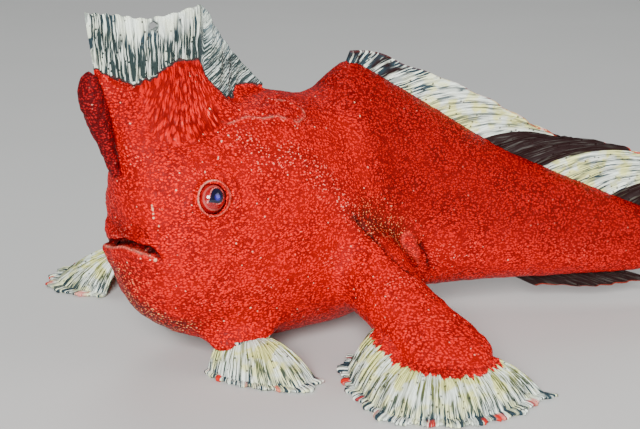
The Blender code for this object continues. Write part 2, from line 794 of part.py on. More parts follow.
# The origin is on the floor, under the middle of the whole fish
corners = [v.co for obj in nodes for v in obj.data.vertices]
low = Vector([min(c[k] for c in corners) for k in range(3)])
high = Vector([max(c[k] for c in corners) for k in range(3)])
handfish = bpy.data.objects.new("handfish", None)
bpy.context.scene.collection.objects.link(handfish)
handfish.location = (-(low.x + high.x) / 2, -(low.y + high.y) / 2, -low.z)
for obj in nodes:
    obj.parent = handfish
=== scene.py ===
import math

import bmesh
import bpy
import numpy as np
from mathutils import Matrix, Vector, kdtree


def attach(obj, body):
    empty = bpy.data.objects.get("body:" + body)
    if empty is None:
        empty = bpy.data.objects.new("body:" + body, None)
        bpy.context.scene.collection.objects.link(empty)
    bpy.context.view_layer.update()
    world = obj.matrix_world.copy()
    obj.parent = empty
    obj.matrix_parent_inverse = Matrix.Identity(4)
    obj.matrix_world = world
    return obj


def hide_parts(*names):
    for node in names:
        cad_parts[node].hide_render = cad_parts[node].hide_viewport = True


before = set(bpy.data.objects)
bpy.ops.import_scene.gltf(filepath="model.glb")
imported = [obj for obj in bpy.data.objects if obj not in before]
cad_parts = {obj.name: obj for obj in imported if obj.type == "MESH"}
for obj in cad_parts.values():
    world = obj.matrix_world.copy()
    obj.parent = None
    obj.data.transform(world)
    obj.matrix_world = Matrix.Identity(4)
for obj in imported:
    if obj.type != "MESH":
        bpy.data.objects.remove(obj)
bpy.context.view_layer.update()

# Skin: one red, warty hide covers the head, trunk, tail, arms and the short legs with
# no seam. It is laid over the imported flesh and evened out, and then its folds, lips,
# lids and flutes are drawn up in it. Lengths are in millimetres.

MM = 0.001
FLESH = ("head", "torso", "tail", "pectoral_arm_left", "pectoral_arm_right")
SEAM_FILL = 0.3          # swells each part, so that the cuts between them close
HIDE_GRAIN = 0.25        # edge length of the hide's faces
HIDE_PRESSED = 0.05      # how far under the flesh's face it is pressed, under its folds
HIDE_OFF_FLOOR = 0.3

# The body axis, seen from above: it starts under the mouth and bends at the neck
AXIS_START = (-53.795, -8.878)
HEAD_TURN, TAIL_TURN = 14.0, -18.0
BEND_FROM, BEND_TO = 24.6, 54.6
AXIS_STEP = 0.25


def ease(value, start, end):
    t = np.clip((value - start) / (end - start), 0.0, 1.0)
    return t * t * (3.0 - 2.0 * t)


def hump(distance, width):
    return np.exp(-(distance / width) ** 2)


axis_at = np.arange(-20.0, 140.1, AXIS_STEP)
axis_turn = np.radians(HEAD_TURN + (TAIL_TURN - HEAD_TURN) * ease(axis_at, BEND_FROM, BEND_TO))


def running_sum(rates):
    total = np.concatenate(([0.0], np.cumsum((rates[1:] + rates[:-1]) / 2.0 * AXIS_STEP)))
    return total - np.interp(0.0, axis_at, total)


axis_x = AXIS_START[0] + running_sum(np.cos(axis_turn))
axis_y = AXIS_START[1] + running_sum(np.sin(axis_turn))


def place(along, side, height):
    """Points of the model at places on the body: along its axis, to its right and up."""
    along, side, height = np.broadcast_arrays(np.asarray(along, float), side, height)
    angle = np.interp(along, axis_at, axis_turn)
    return np.stack([np.interp(along, axis_at, axis_x) - np.sin(angle) * side,
                     np.interp(along, axis_at, axis_y) + np.cos(angle) * side, height], -1)


def on_body(points):
    """The other way round: along, side and height of points of the model."""
    along = points[:, 0] - AXIS_START[0]
    curl = np.gradient(axis_turn, axis_at)
    for _ in range(40):
        angle = np.interp(along, axis_at, axis_turn)
        dx = points[:, 0] - np.interp(along, axis_at, axis_x)
        dy = points[:, 1] - np.interp(along, axis_at, axis_y)
        side = dy * np.cos(angle) - dx * np.sin(angle)
        ahead = dx * np.cos(angle) + dy * np.sin(angle)
        along = along + ahead / np.maximum(1.0 - np.interp(along, axis_at, curl) * side, 0.3)
    return along, side, points[:, 2]


def through(table, column, at):
    """Smooth value of one column of a table, with no overshoot between its rows."""
    knots = np.array([row[0] for row in table], float)
    values = np.array([row[column] for row in table], float)
    spans = np.diff(knots)
    rises = np.diff(values) / spans
    before, after = rises[:-1], rises[1:]
    same_way = before * after > 0.0
    inner = np.where(same_way, 2.0 * before * after / np.where(same_way, before + after, 1.0), 0.0)
    slopes = np.concatenate((rises[:1], inner, rises[-1:]))
    at = np.clip(at, knots[0], knots[-1])
    i = np.clip(np.searchsorted(knots, at, side="right") - 1, 0, len(spans) - 1)
    t = (at - knots[i]) / spans[i]
    return ((1 + 2 * t) * (1 - t) ** 2 * values[i] + t * t * (3 - 2 * t) * values[i + 1]
            + (t * (1 - t) ** 2 * slopes[i] - t * t * (1 - t) * slopes[i + 1]) * spans[i])


def level_at(line, at):
    """Straight value between the points of a line."""
    return np.interp(at, *np.array(line, float).T)


def as_share(values):
    return np.clip(values, 0.0, 1.0)


def from_line(places, line):
    """Distance of places from a line of places, and the share of its length there."""
    line = np.array(line, float)
    lengths = np.concatenate(([0.0], np.cumsum(np.linalg.norm(np.diff(line, axis=0), axis=1))))
    best = np.full(len(places), 1e9)
    share = np.zeros(len(places))
    for k, (a, b) in enumerate(zip(line, line[1:])):
        t = np.clip((places - a) @ (b - a) / ((b - a) @ (b - a)), 0.0, 1.0)
        away = np.linalg.norm(places - a - t[:, None] * (b - a), axis=1)
        closer = away < best
        best = np.where(closer, away, best)
        here = (lengths[k] + t * (lengths[k + 1] - lengths[k])) / lengths[-1]
        share = np.where(closer, here, share)
    return best, share


def away_from(places, at):
    return np.linalg.norm(places - np.array(at), axis=1)


def ripple(points, spacing, seed):
    """Smooth random swelling and sinking from -1 to 1, about spacing apart."""
    rng = np.random.default_rng(seed)
    total = np.zeros(len(points))
    for _ in range(10):
        way = rng.normal(size=3)
        way *= rng.uniform(0.7, 1.4) / np.linalg.norm(way)
        total += np.sin(points @ way * (2.0 * math.pi / spacing) + rng.uniform(0, 6.283))
    return total / 4.5


def new_object(name, data):
    made = bpy.data.objects.new(name, data)
    bpy.context.scene.collection.objects.link(made)
    return made


def flesh_as_one(names, swell):
    """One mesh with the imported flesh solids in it, each swollen a little."""
    bm = bmesh.new()
    for name in names:
        solid = bmesh.new()
        solid.from_mesh(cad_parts[name].data)
        bmesh.ops.remove_doubles(solid, verts=solid.verts, dist=1e-7)
        solid.normal_update()
        verts = [bm.verts.new(v.co + v.normal * (swell * MM)) for v in solid.verts]
        solid.verts.index_update()
        for face in solid.faces:
            bm.faces.new([verts[v.index] for v in face.verts])
        solid.free()
    mesh = bpy.data.meshes.new("skin")
    bm.to_mesh(mesh)
    bm.free()
    return new_object("skin", mesh)


def apply_modifiers(obj):
    depsgraph = bpy.context.evaluated_depsgraph_get()
    mesh = bpy.data.meshes.new_from_object(obj.evaluated_get(depsgraph))
    obj.modifiers.clear()
    obj.data = mesh


def read_out(items, key, width, kind=float):
    """One value of each item of a mesh, in rows of a width."""
    values = np.empty(len(items) * width, kind)
    items.foreach_get(key, values)
    return values.reshape(-1, width)


def points_of(mesh):
    return read_out(mesh.vertices, "co", 3) / MM


def normals_of(mesh):
    return read_out(mesh.vertex_normals, "vector", 3)


def move_points(mesh, points):
    mesh.vertices.foreach_set("co", (points * MM).ravel())
    mesh.update()


def relax(points, edges, weight, rounds):
    """Evens the points out, each toward the middle of its neighbours."""
    a, b = edges[:, 0], edges[:, 1]
    count = np.bincount(edges.ravel(), minlength=len(points))
    for _ in range(rounds):
        middle = np.stack([
            (np.bincount(a, points[b, k], len(points)) + np.bincount(b, points[a, k], len(points)))
            / count for k in range(3)], -1)
        points = points + (middle - points) * weight[:, None]
    return points


def paint(mesh, **looks):
    """Keeps a value for each vertex under each name, which a material reads."""
    for name, values in looks.items():
        layer = mesh.attributes.new(name, "FLOAT", "POINT")
        layer.data.foreach_set("value", np.ascontiguousarray(values, np.float32))


def painted(mesh, name):
    return read_out(mesh.attributes[name].data, "value", 1, np.float32)[:, 0]


# The crest grows out of the forehead in a fleshy foot, which belongs to the hide.
# Share of its length, along and height of its root, along and height of its free edge
CREST = (
    (0.0, -2.6, 42.9, -4.0, 52.8), (0.2, 2.0, 42.6, 1.2, 52.1), (0.36, 5.6, 42.6, 5.6, 51.3),
    (0.46, 8.6, 42.8, 9.4, 51.6), (0.6, 13.4, 43.0, 14.4, 52.4), (0.74, 17.2, 39.4, 18.2, 48.2),
    (0.88, 21.2, 37.6, 22.2, 43.8), (1.0, 25.4, 38.2, 25.9, 39.9))
CREST_SPINE = 0.60
CREST_PLEATS = 16
CREST_FOLD = 0.8         # how far the folds behind that spine swing to each side
FOOT_THINS = (-1.1, 0.7)  # heights over the border between which its foot thins out
FOOT_ENDS = 1.1
FOOT_THICKNESS = 0.12    # half thickness of the hide inside the web


def notched(t, rays, depth):
    """Share of its reach that a web has, which dips between the rays."""
    return 1.0 - depth * np.sin(math.pi * t * (rays - 1)) ** 2


def crest_middle(t, r):
    low = place(through(CREST, 1, t), 0.0, through(CREST, 2, t))
    high = place(through(CREST, 3, t), 0.0, through(CREST, 4, t))
    fold = np.clip((t - CREST_SPINE) / (1.0 - CREST_SPINE), 0.0, 1.0)
    sway = (0.5 * np.sin(t * 9.0) * r + 0.4 * np.sin(fold * math.pi) * r
            - CREST_FOLD * np.sin(fold * 2 * math.pi) * 4 * r * (1 - r))
    here = low + (high - low) * (r * notched(t, CREST_PLEATS, 0.025))[..., None]
    angle = np.interp(through(CREST, 3, t), axis_at, axis_turn)
    aside = np.stack([-np.sin(angle), np.cos(angle), 0.0 * angle], -1)
    return here + aside * sway[..., None]


# Middle of each foot from the start of the axis, and how high its white reaches
FEET = ((17.4, -3.4), (18.4, 12.6))
FOOT_WHITE = 5.3
# Line between red skin and white crest: along, height
CREST_BORDER = (
    (-4.0, 45.8), (-2.9, 45.2), (-0.5, 43.9), (2.7, 42.6), (6.0, 43.2), (10.3, 45.0), (14.0, 44.8),
    (15.2, 42.0), (18.5, 38.8), (19.8, 38.7), (21.2, 40.2), (23.5, 40.1), (25.8, 39.7),
    (28.0, 41.0))


def to_border(along, height):
    """Height over the line where the crest turns white."""
    return height - level_at(CREST_BORDER, along)


skin = flesh_as_one(FLESH + ("first_dorsal_fin",), SEAM_FILL)
remesh = skin.modifiers.new("hide", "REMESH")
remesh.mode = "VOXEL"
remesh.voxel_size = HIDE_GRAIN * MM
apply_modifiers(skin)

# Lips, lids, nostrils and gills keep their edges; the rest is evened out more
EYE_AT = (9.0, 9.3, 27.0)
EYE_OUT = (-0.12, 1.0, 0.22)
EYE_SUNK = 0.55
GILL = (49.9, 10.8, 13.0)
MOUTH = tuple((0.7 + 1.5 * (1 - math.cos(t)), 6.2 * math.sin(t), 20.4 - 1.1 * (1 - math.cos(t)))
              for t in np.linspace(0.0, math.pi / 2, 9))
NOSTRILS = ((0.5, 2.4, 24.4), (3.4, 7.4, 27.6))


def eye_frame(sign):
    """Centre of the eyeball, and its axes: out, to the rear and up."""
    along, side, height = EYE_AT
    surface = place(along, sign * side, height)
    out = place(along + EYE_OUT[0], sign * (side + EYE_OUT[1]), height + EYE_OUT[2]) - surface
    out /= np.linalg.norm(out)
    rear = place(along + 1.0, sign * side, height) - surface
    rear -= out * (rear @ out)
    rear /= np.linalg.norm(rear)
    up = np.cross(out, rear)
    return surface - out * EYE_SUNK, out, rear, up * np.sign(up[2])


points = points_of(skin.data)
edges = read_out(skin.data.edges, "vertices", 2, np.int32)
along, side, height = on_body(points)
mirrored = np.stack([along, np.abs(side), height], -1)
from_mouth, _ = from_line(mirrored, MOUTH)
from_nostril = np.min([away_from(mirrored, nostril) for nostril in NOSTRILS], 0)
plain = (ease(from_mouth, 1.2, 3.2) * ease(away_from(mirrored, EYE_AT), 3.6, 5.0)
         * ease(away_from(mirrored, GILL), 3.8, 5.6) * ease(from_nostril, 0.8, 2.0))
points = relax(points, edges, 0.08 + 0.52 * plain, 45)
move_points(skin.data, points)
points = points - normals_of(skin.data) * (SEAM_FILL + HIDE_PRESSED)
points = relax(points, edges, 0.5 * plain, 6)
move_points(skin.data, points)

# Over the line where the crest turns white, the hide thins out inside the white web
FAR_OFF = -9.0           # stands for a place that is nowhere near the line
along, side, height = on_body(points)
over = np.where((height > 38.0) & (along < 28.0) & (np.abs(side) < 5.0),
                to_border(along, height), FAR_OFF)
spread = crest_middle(*np.meshgrid(np.linspace(0.0, 1.0, 241), np.linspace(0.0, 1.0, 61)))
middles = kdtree.KDTree(spread.shape[0] * spread.shape[1])
for k, at in enumerate(spread.reshape(-1, 3)):
    middles.insert(at, k)
middles.balance()
for k in np.flatnonzero((over > FOOT_THINS[0]) & (over < FOOT_ENDS + 1.0)):
    to_middle = np.array(middles.find(points[k])[0]) - points[k]
    distance = max(np.linalg.norm(to_middle), FOOT_THICKNESS)
    points[k] += to_middle * ease(over[k], *FOOT_THINS) * (1.0 - FOOT_THICKNESS / distance)
move_points(skin.data, points)
bm = bmesh.new()
bm.from_mesh(skin.data)
bm.verts.ensure_lookup_table()
bmesh.ops.delete(bm, geom=[bm.verts[k] for k in np.flatnonzero(over > FOOT_ENDS)], context="VERTS")
bmesh.ops.delete(bm, geom=[v for v in bm.verts if not v.link_faces], context="VERTS")
cap = bmesh.ops.holes_fill(bm, edges=[e for e in bm.edges if e.is_boundary], sides=0)["faces"]
bmesh.ops.triangulate(bm, faces=cap, ngon_method="BEAUTY")
bm.to_mesh(skin.data)
bm.free()
points = points_of(skin.data)

# Folds and ridges, along, side and height on the left; the right mirrors them
NAPE_FOLD = (
    (13.6, 4.0, 38.0), (14.6, 5.8, 36.1), (18.3, 5.8, 36.8), (20.6, 6.7, 36.3), (23.1, 6.9, 36.3),
    (26.1, 8.0, 35.2), (28.4, 7.0, 35.7), (28.7, 5.8, 36.7), (27.1, 4.7, 37.7), (24.2, 4.0, 38.2))
SHOULDER_BAND = (
    (16.0, 8.0, 34.2), (17.5, 10.1, 31.7), (23.0, 10.9, 31.3), (26.6, 12.2, 28.6),
    (27.5, 12.8, 26.9), (30.0, 13.9, 23.8), (33.0, 14.3, 21.4))
ARM_CREASE = (
    (31.6, 14.2, 22.0), (34.9, 14.4, 20.0), (36.4, 15.4, 18.6), (37.4, 19.1, 16.8),
    (40.0, 21.5, 15.1), (42.6, 22.5, 14.2))
BEHIND_ARM = ((37.0, 13.8, 20.4), (42.5, 12.8, 18.0), (47.0, 12.0, 15.6))
GILL_MOUTH = ((51.2, 10.4, 14.6), (52.2, 10.0, 12.4), (52.8, 9.7, 10.2))
GILL_LEAF = ((48.2, 11.2, 15.6), (49.6, 11.3, 13.9), (50.6, 11.3, 12.4))
MOUTH_CORNER = ((1.2, 0.0, 20.0), (1.7, 0.0, 19.6), (2.1, 0.0, 18.9))
MOUTH_DROOP = ((-5.2, 0.0), (-1.5, -0.35), (1.8, 0.45), (4.5, 0.95))
LIP_FOLD = ((0.1, 2.0, 23.7), (0.6, 4.3, 23.5), (1.25, 5.7, 22.8), (1.5, 6.1, 21.6))
# Larger beads: along, side, height, radius
BEADS = (
    (32.5, 14.3, 21.5, 0.3), (43.8, 11.3, 21.9, 0.26), (44.6, 11.2, 21.3, 0.3),
    (42.9, 11.3, 22.5, 0.24), (43.6, 11.3, 21.0, 0.22), (36.4, 15.4, 18.6, 0.26),
    (36.7, 17.2, 17.8, 0.22), (35.4, 14.6, 19.6, 0.2), (39.9, 7.0, 34.6, 0.26),
    (39.1, 7.5, 35.0, 0.22), (39.6, 5.8, 36.6, 0.34), (8.6, 8.7, 30.7, 0.22), (6.7, 8.9, 30.0, 0.2),
    (5.6, 9.2, 28.6, 0.16), (2.1, 6.6, 23.7, 0.26), (1.5, 6.4, 18.9, 0.4), (4.9, 8.9, 16.2, 0.24),
    (3.0, 7.7, 18.2, 0.2), (0.1, 4.9, 19.0, 0.28), (-0.3, 1.8, 17.4, 0.3), (13.4, 3.7, 38.2, 0.3),
    (14.2, 4.6, 37.2, 0.24), (10.6, 8.2, 33.0, 0.22), (11.6, 8.0, 33.4, 0.2),
    (12.5, 7.4, 34.2, 0.2), (4.8, 5.4, 34.0, 0.18), (1.6, 5.8, 26.5, 0.3), (1.6, 5.9, 26.0, 0.34),
    (1.6, 6.0, 25.4, 0.34), (1.7, 6.0, 24.8, 0.28), (2.6, 6.8, 26.0, 0.2), (0.3, 2.6, 34.6, 0.18))
MOUTH_LEVEL = ((0.7, 20.4), (1.4, 20.0), (2.8, 18.6))   # along, height
FRONT_ENDS = 5.5         # the front of the face, along
MOUTH_HALF = 6.9         # half width of the mouth, with its lips
# Relief across each line: how far it rises, its distance from the line, its half width
RELIEF = {
    "nape fold": ((0.20, 0.0, 0.34), (-0.14, 0.8, 0.4)),
    "shoulder band": ((0.16, 0.0, 1.4),),
    "lip fold": ((0.20, 0.0, 0.40),),
    "under the lip fold": ((-0.16, 0.9, 0.45),),
    "arm crease": ((-0.50, 0.0, 0.50),),
    "hollow behind the arm": ((-0.25, 0.0, 2.0),),
    "gill opening": ((-0.30, 0.0, 0.6),),
    "over the mouth": ((-0.6, -2.6, 1.3),),
    "lips": ((0.16, -1.3, 0.45), (-1.1, -0.05, 0.42), (0.22, 1.0, 0.8), (-0.10, 2.6, 0.7)),
    "mouth corner": ((-0.40, 0.0, 0.28),),
    "eyelid": ((0.16, 2.5, 0.22), (-0.14, 3.1, 0.35), (0.07, 3.8, 0.3), (-0.06, 4.5, 0.3)),
}
LEAF_RISE, BEAD_RISE, FLUTE_RISE = 0.30, 0.20, 0.08
FLUTES_IN_A_RADIAN = 100.0
LID_EDGE = 2.46          # from the middle of the eye to the pale edge of its lid
MOUTH_CLOSES = 0.35      # how far the upper lip comes down over the lower
HIDE_SUNK = 0.10         # evens out what the grains add


def rise(name, distance):
    return sum(up * hump(distance - at, width) for up, at, width in RELIEF[name])


def flutes_at(along, side, height):
    """How far the skin is fluted, and which flute a place is on.

    They run down from the third spine of the crest, as from the root of a fan.
    """
    fluted = (ease(height, 31.5, 37.0) * hump(along - 9.0, 6.5) * ease(6.8 - np.abs(side), 0.0, 1.5)
              * ease(-to_border(along, height), -0.8, 0.2))
    return fluted, np.arctan2(along - 13.0, 52.0 - height)


along, side, height = on_body(points)
mirrored = np.stack([along, np.abs(side), height], -1)
fold, _ = from_line(mirrored, NAPE_FOLD)
band, _ = from_line(mirrored, SHOULDER_BAND)
crease, crease_share = from_line(mirrored, ARM_CREASE)
hollow, _ = from_line(mirrored, BEHIND_ARM)
gill, _ = from_line(mirrored, GILL_MOUTH)
leaf, leaf_share = from_line(mirrored, GILL_LEAF)
leaf = leaf / (1.15 - 0.45 * leaf_share)
lip_fold, _ = from_line(mirrored, LIP_FOLD)
corner, corner_share = from_line(mirrored * (1.0, 0.0, 1.0), MOUTH_CORNER)
off_middle = np.abs(side)
on_front = ease(FRONT_ENDS - along, 0.0, 2.0)
on_mouth = on_front * ease(MOUTH_HALF - off_middle, 0.0, 1.6)
at_corner = on_front * ease(off_middle, 3.8, 4.8)
below_mouth = level_at(MOUTH_LEVEL, along) - height
near_crest = (height > 36.0) & (along < 30.0) & (off_middle < 7.0)
border = np.where(near_crest, to_border(along, height), FAR_OFF)
flutes, flute_angle = flutes_at(along, side, height)
beads = np.zeros(len(points))
for *at, radius in BEADS:
    beads = np.maximum(beads, hump(away_from(mirrored, at), 0.85 * radius))
lift = (rise("nape fold", fold) + rise("shoulder band", band) + rise("lip fold", lip_fold)
        + rise("under the lip fold", lip_fold) * ease(23.4 - height, 0.0, 0.6) * on_front
        + rise("arm crease", crease) * ease(crease_share, 0, 0.2) * ease(1 - crease_share, 0, 0.2)
        + rise("hollow behind the arm", hollow) + rise("gill opening", gill)
        + LEAF_RISE * ease(1.5 - leaf, 0.0, 0.8)
        + rise("over the mouth", below_mouth) * on_front * ease(5.6 - off_middle, 0.0, 2.5)
        + rise("lips", below_mouth) * on_mouth + rise("mouth corner", corner) * at_corner
        + BEAD_RISE * beads + FLUTE_RISE * flutes * np.sin(flute_angle * FLUTES_IN_A_RADIAN)
        + 0.07 * ripple(points, 3.2, 11) + 0.04 * ripple(points, 1.4, 12) - HIDE_SUNK)
ring = np.zeros(len(points))
for sign in (-1, 1):
    centre, out, rear, up = eye_frame(sign)
    offset = points - centre
    outward = offset @ out
    rearward, upward = offset @ rear, offset @ up
    rho = np.hypot(rearward, upward)
    near = (outward > 0.0) & (rho < 6.0)
    lift += near * rise("eyelid", rho)
    # The lid's pale rim is painted brighter on its upper front, a painted highlight
    toward = (upward - rearward) / (1.41 * np.maximum(rho, 0.1))
    edge = (0.25 + 0.75 * ease(toward, -0.1, 0.7)) * hump(rho - LID_EDGE, 0.105)
    ring = np.maximum(ring, near * edge)
points = points + normals_of(skin.data) * lift[:, None]
drooping = through(MOUTH_DROOP, 1, side) * ease(height, 14.0, 18.0)
closing = MOUTH_CLOSES * ease(height, 20.1, 21.2) * ease(6.5 - off_middle, 0.0, 2.5)
points[:, 2] -= (drooping + closing) * on_front * ease(26.5 - height, 0.0, 5.0)
points[:, 2] = np.maximum(points[:, 2], HIDE_OFF_FLOOR)
move_points(skin.data, points)
skin.data.shade_smooth()

# Where the colour changes over the body, and painted shade: darker over the back and under the
# snout
PAINTED_SHADE_FROM = ((13.8, 51.0), (18.0, 46.0), (22.0, 42.5), (28.0, 40.5), (34.0, 39.0),
             (38.0, 36.0))                                  # height, along
UNDERSIDE = ((30.0, 22.0), (57.0, 16.5), (66.0, 14.0), (77.0, 11.0), (97.0, 8.0))
CHIN = ((0.0, 13.5), (3.4, 10.9), (5.9, 8.7))               # side, height
FOOT_REACH = 4.9         # how far from the middle of a foot its white starts

along, side, height = on_body(points)
off_middle = np.abs(side)
on_arm = ease(off_middle, 12.5, 14.5) * ease(20.0 - height, 0.0, 5.0)
on_back = (ease(along - level_at(PAINTED_SHADE_FROM, height), -3.0, 4.0)
           * ease(height - level_at(UNDERSIDE, along), -4.0, 4.0) * (1.0 - on_arm))
saddle = ease(height, 33.0, 37.0) * ease(along, 20.0, 28.0)
forehead = ease(height, 29.0, 35.0) * ease(14.0 - along, 0.0, 5.0)
snout = ease(1.2 - along, 0.0, 1.2) * ease(height, 20.6, 21.6) * ease(28.0 - height, 0, 5)
over_lip = hump(height - 22.0, 0.9) * ease(5.9 - off_middle, 0.0, 1.0) * on_front
under_chin = ease(level_at(CHIN, off_middle) + 1.2 - height, 0.0, 2.0) * ease(10.0 - along, 0, 4)
jaw_edge = np.maximum(
    0.8 * hump(side - 1.0, 3.4) * ease(18.5 - height, 0.0, 3.0) * ease(9.0 - along, 0.0, 4.0),
    under_chin)
patches = ripple(points, 9.0, 21)
# A painted highlight along the rim of the lower lip
lip_highlight = on_mouth * hump(below_mouth - 0.75, 0.15) * (0.70 + 0.25 * ripple(points, 1.0, 22))
broken = ease(ripple(points, 2.0, 23), -0.4, 0.5)
from_start = points[:, :2] - AXIS_START
to_foot = np.min([np.hypot(*(from_start - foot).T) for foot in FEET], axis=0)
white_foot = np.minimum(FOOT_WHITE - height, FOOT_REACH - to_foot)
border = np.maximum(border, np.where(height < 8.0, white_foot, FAR_OFF))
foot_turn = np.arctan2(*(from_start - FEET[0]).T[::-1])
off_leaf = 1.0 - ease(1.5 - leaf, 0.0, 0.4)
creased = ease(crease_share, 0.0, 0.15) * ease(1.0 - crease_share, 0.0, 0.1)
paint(
    skin.data, border=border, bead=beads, flute=flutes, flute_angle=flute_angle, level=height,
    streak=np.where(height < 20.0, 6.0 * foot_turn, along),
    # painted shade: darker over the back, saddle and forehead, the snout's front, over the lip, and
    # in the hollow and crease behind the arm
    dusk=off_leaf * as_share(on_back + 0.45 * snout + 0.4 * saddle + 0.7 * over_lip
                             + 0.35 * forehead + 0.6 * hump(hollow, 2.8)
                             + 0.8 * hump(crease, 0.5)),
    pale=off_leaf * as_share(0.9 * hump(band, 1.9) + 0.40 * hump(fold, 1.2)
                             + 0.35 * ease(patches, 0.3, 1.2) * (1.0 - on_back)),
    # line: pale edges of the nape fold and the gill leaf, the lid's rim with its painted highlight,
    # and the painted highlight on the lower lip
    line=as_share(0.26 * hump(fold, 0.15) * broken + 0.62 * ring + 0.42 * lip_highlight
                  + 0.05 * hump(leaf - 1.0, 0.25)),
    # Painted shade in recesses: black in the mouth's gap and corners, the gill opening, the arm's
    # crease and under the gill leaf's edge
    gap=as_share(1.2 * on_mouth * hump(below_mouth - 0.08, 0.42 - 0.20 * ease(along, 1.0, 2.2))
                 + 0.95 * at_corner * hump(corner, 0.30 - 0.16 * corner_share)
                 + 0.9 * hump(gill, 0.5) + 0.8 * hump(crease, 0.30) * creased
                 + 0.5 * hump(leaf - 1.5, 0.22) * ease(leaf_share, 0.2, 0.7)),
    jaw=off_leaf * as_share(jaw_edge + 0.7 * hump(hollow, 3.0)),
    # brown ground between grains under the jaw; in the hollow and crease behind the arm it is
    # partly painted shade
    brown=off_leaf * as_share(jaw_edge + 0.95 * hump(hollow, 3.3) + 0.2 * hump(band, 1.6)
                              + 0.5 * hump(crease, 1.2)))


def feed(tree, node, inputs):
    """Links each value into its input of a node, or sets it there."""
    for name, value in inputs.items():
        if isinstance(value, bpy.types.NodeSocket):
            tree.links.new(value, node.inputs[name])
        else:
            node.inputs[name].default_value = value


def put(tree, kind, inputs=None, **settings):
    """A shader node with its settings, and each input either set or linked."""
    node = tree.nodes.new("ShaderNode" + kind)
    for name, value in settings.items():
        setattr(node, name, value)
    feed(tree, node, inputs or {})
    return node


def read(tree, name):
    return put(tree, "Attribute", attribute_type="GEOMETRY", attribute_name=name).outputs["Fac"]


def maths(tree, operation, *values, clamp=False):
    node = put(tree, "Math", dict(enumerate(values)), operation=operation, use_clamp=clamp)
    return node.outputs[0]


def times(tree, first, second):
    return maths(tree, "MULTIPLY", first, second)


def noise(tree, vector, scale, detail=2.0, **inputs):
    inputs.update({"Vector": vector, "Scale": scale, "Detail": detail})
    return put(tree, "TexNoise", inputs).outputs["Fac"]


def cells(tree, vector, scale, randomness=1.0):
    """Scattered cells, from which grains, warts and pits are made."""
    return put(tree, "TexVoronoi", {"Vector": vector, "Scale": scale, "Randomness": randomness},
               feature="F1").outputs


def step_up(tree, value, low, high, to_low=0.0, to_high=1.0):
    node = put(tree, "MapRange", {"Value": value, "From Min": low, "From Max": high,
                                  "To Min": to_low, "To Max": to_high},
               interpolation_type="SMOOTHSTEP")
    return node.outputs["Result"]


def tint(tree, share, first, second, blend="MIX"):
    """Colour from the first to the second by a share from 0 to 1."""
    first, second = ((*shade, 1.0) if isinstance(shade, tuple) else shade
                     for shade in (first, second))
    return put(tree, "Mix", {0: share, 6: first, 7: second}, data_type="RGBA",
               blend_type=blend).outputs[2]


def stretched(tree, x, y, z=0.0):
    return put(tree, "CombineXYZ", {"X": x, "Y": y, "Z": z}).outputs["Vector"]


def in_millimetres(tree):
    coords = put(tree, "TexCoord").outputs["Object"]
    return put(tree, "VectorMath", {0: coords, "Scale": 1000.0}, operation="SCALE").outputs[0]


def new_group(name, inputs, outputs):
    group = bpy.data.node_groups.new(name, "ShaderNodeTree")
    for socket, kind, value in inputs:
        made = group.interface.new_socket(socket, in_out="INPUT", socket_type="NodeSocket" + kind)
        if value is not None:
            made.default_value = value
    for socket, kind in outputs:
        group.interface.new_socket(socket, in_out="OUTPUT", socket_type="NodeSocket" + kind)
    return group, group.nodes.new("NodeGroupInput"), group.nodes.new("NodeGroupOutput")


def use_group(tree, group, inputs):
    return put(tree, "Group", inputs, node_tree=group).outputs


def new_material(name):
    """A material, its nodes, its shader and the place on the piece in millimetres."""
    material = bpy.data.materials.new(name)
    material.use_nodes = True
    tree = material.node_tree
    return material, tree, tree.nodes["Principled BSDF"], in_millimetres(tree)


def finish_look(tree, shader, colour, relief, depth, strength, roughness, specular):
    """Joins colour, relief and roughness to a shader. The relief is depth mm deep."""
    bump = put(tree, "Bump", {"Height": relief, "Strength": strength, "Distance": depth * MM})
    feed(tree, shader, {"Base Color": colour, "Normal": bump.outputs["Normal"],
                        "Roughness": roughness, "Specular IOR Level": specular})


# Granules: round grains packed over the hide, and a few larger pale warts among them
granules, g_in, g_out = new_group("granules", [
    ("Vector", "Vector", None), ("Spacing", "Float", 0.5), ("Wart Spacing", "Float", 2.4)],
    [("Height", "Float"), ("Wart", "Float"), ("Mottle", "Float")])
tree, given = granules, g_in.outputs
bend = put(tree, "TexNoise", {"Vector": given["Vector"], "Scale": 0.30, "Detail": 2.0})
bent = put(tree, "VectorMath", {0: bend.outputs["Color"], 1: (1.0, 1.0, 1.0), 2: given["Vector"]},
           operation="MULTIPLY_ADD").outputs[0]
in_rows = put(tree, "VectorMath", {0: bent, 1: (1.0, 1.0, 1.3)}, operation="MULTIPLY").outputs[0]
grain = cells(tree, in_rows, maths(tree, "DIVIDE", 1.0, given["Spacing"]), 0.9)
small = cells(tree, in_rows, maths(tree, "DIVIDE", 1.8, given["Spacing"]))
dome = times(tree, step_up(tree, grain["Distance"], 0.66, 0.12),
             step_up(tree, noise(tree, bent, 1.6), 0.32, 0.62, 0.40, 0.85))
low_dome = times(tree, step_up(tree, small["Distance"], 0.6, 0.1), 0.22)
wart = cells(tree, bent, maths(tree, "DIVIDE", 1.0, given["Wart Spacing"]))
chosen = put(tree, "SeparateColor", {"Color": wart["Color"]}).outputs["Red"]
wart_size = maths(tree, "MULTIPLY_ADD", chosen, 0.13, 0.02)
wart_mask = step_up(tree, maths(tree, "DIVIDE", wart["Distance"], wart_size), 1.2, 0.6)
flocks = step_up(tree, noise(tree, given["Vector"], 0.16), 0.42, 0.56)
wart_mask = times(tree, wart_mask, times(tree, step_up(tree, chosen, 0.45, 0.5), flocks))
domes = maths(tree, "ADD", dome, low_dome, clamp=True)
feed(tree, g_out, {"Height": maths(tree, "MAXIMUM", domes, wart_mask), "Wart": wart_mask,
                   "Mottle": noise(tree, given["Vector"], 0.22, 3.0)})

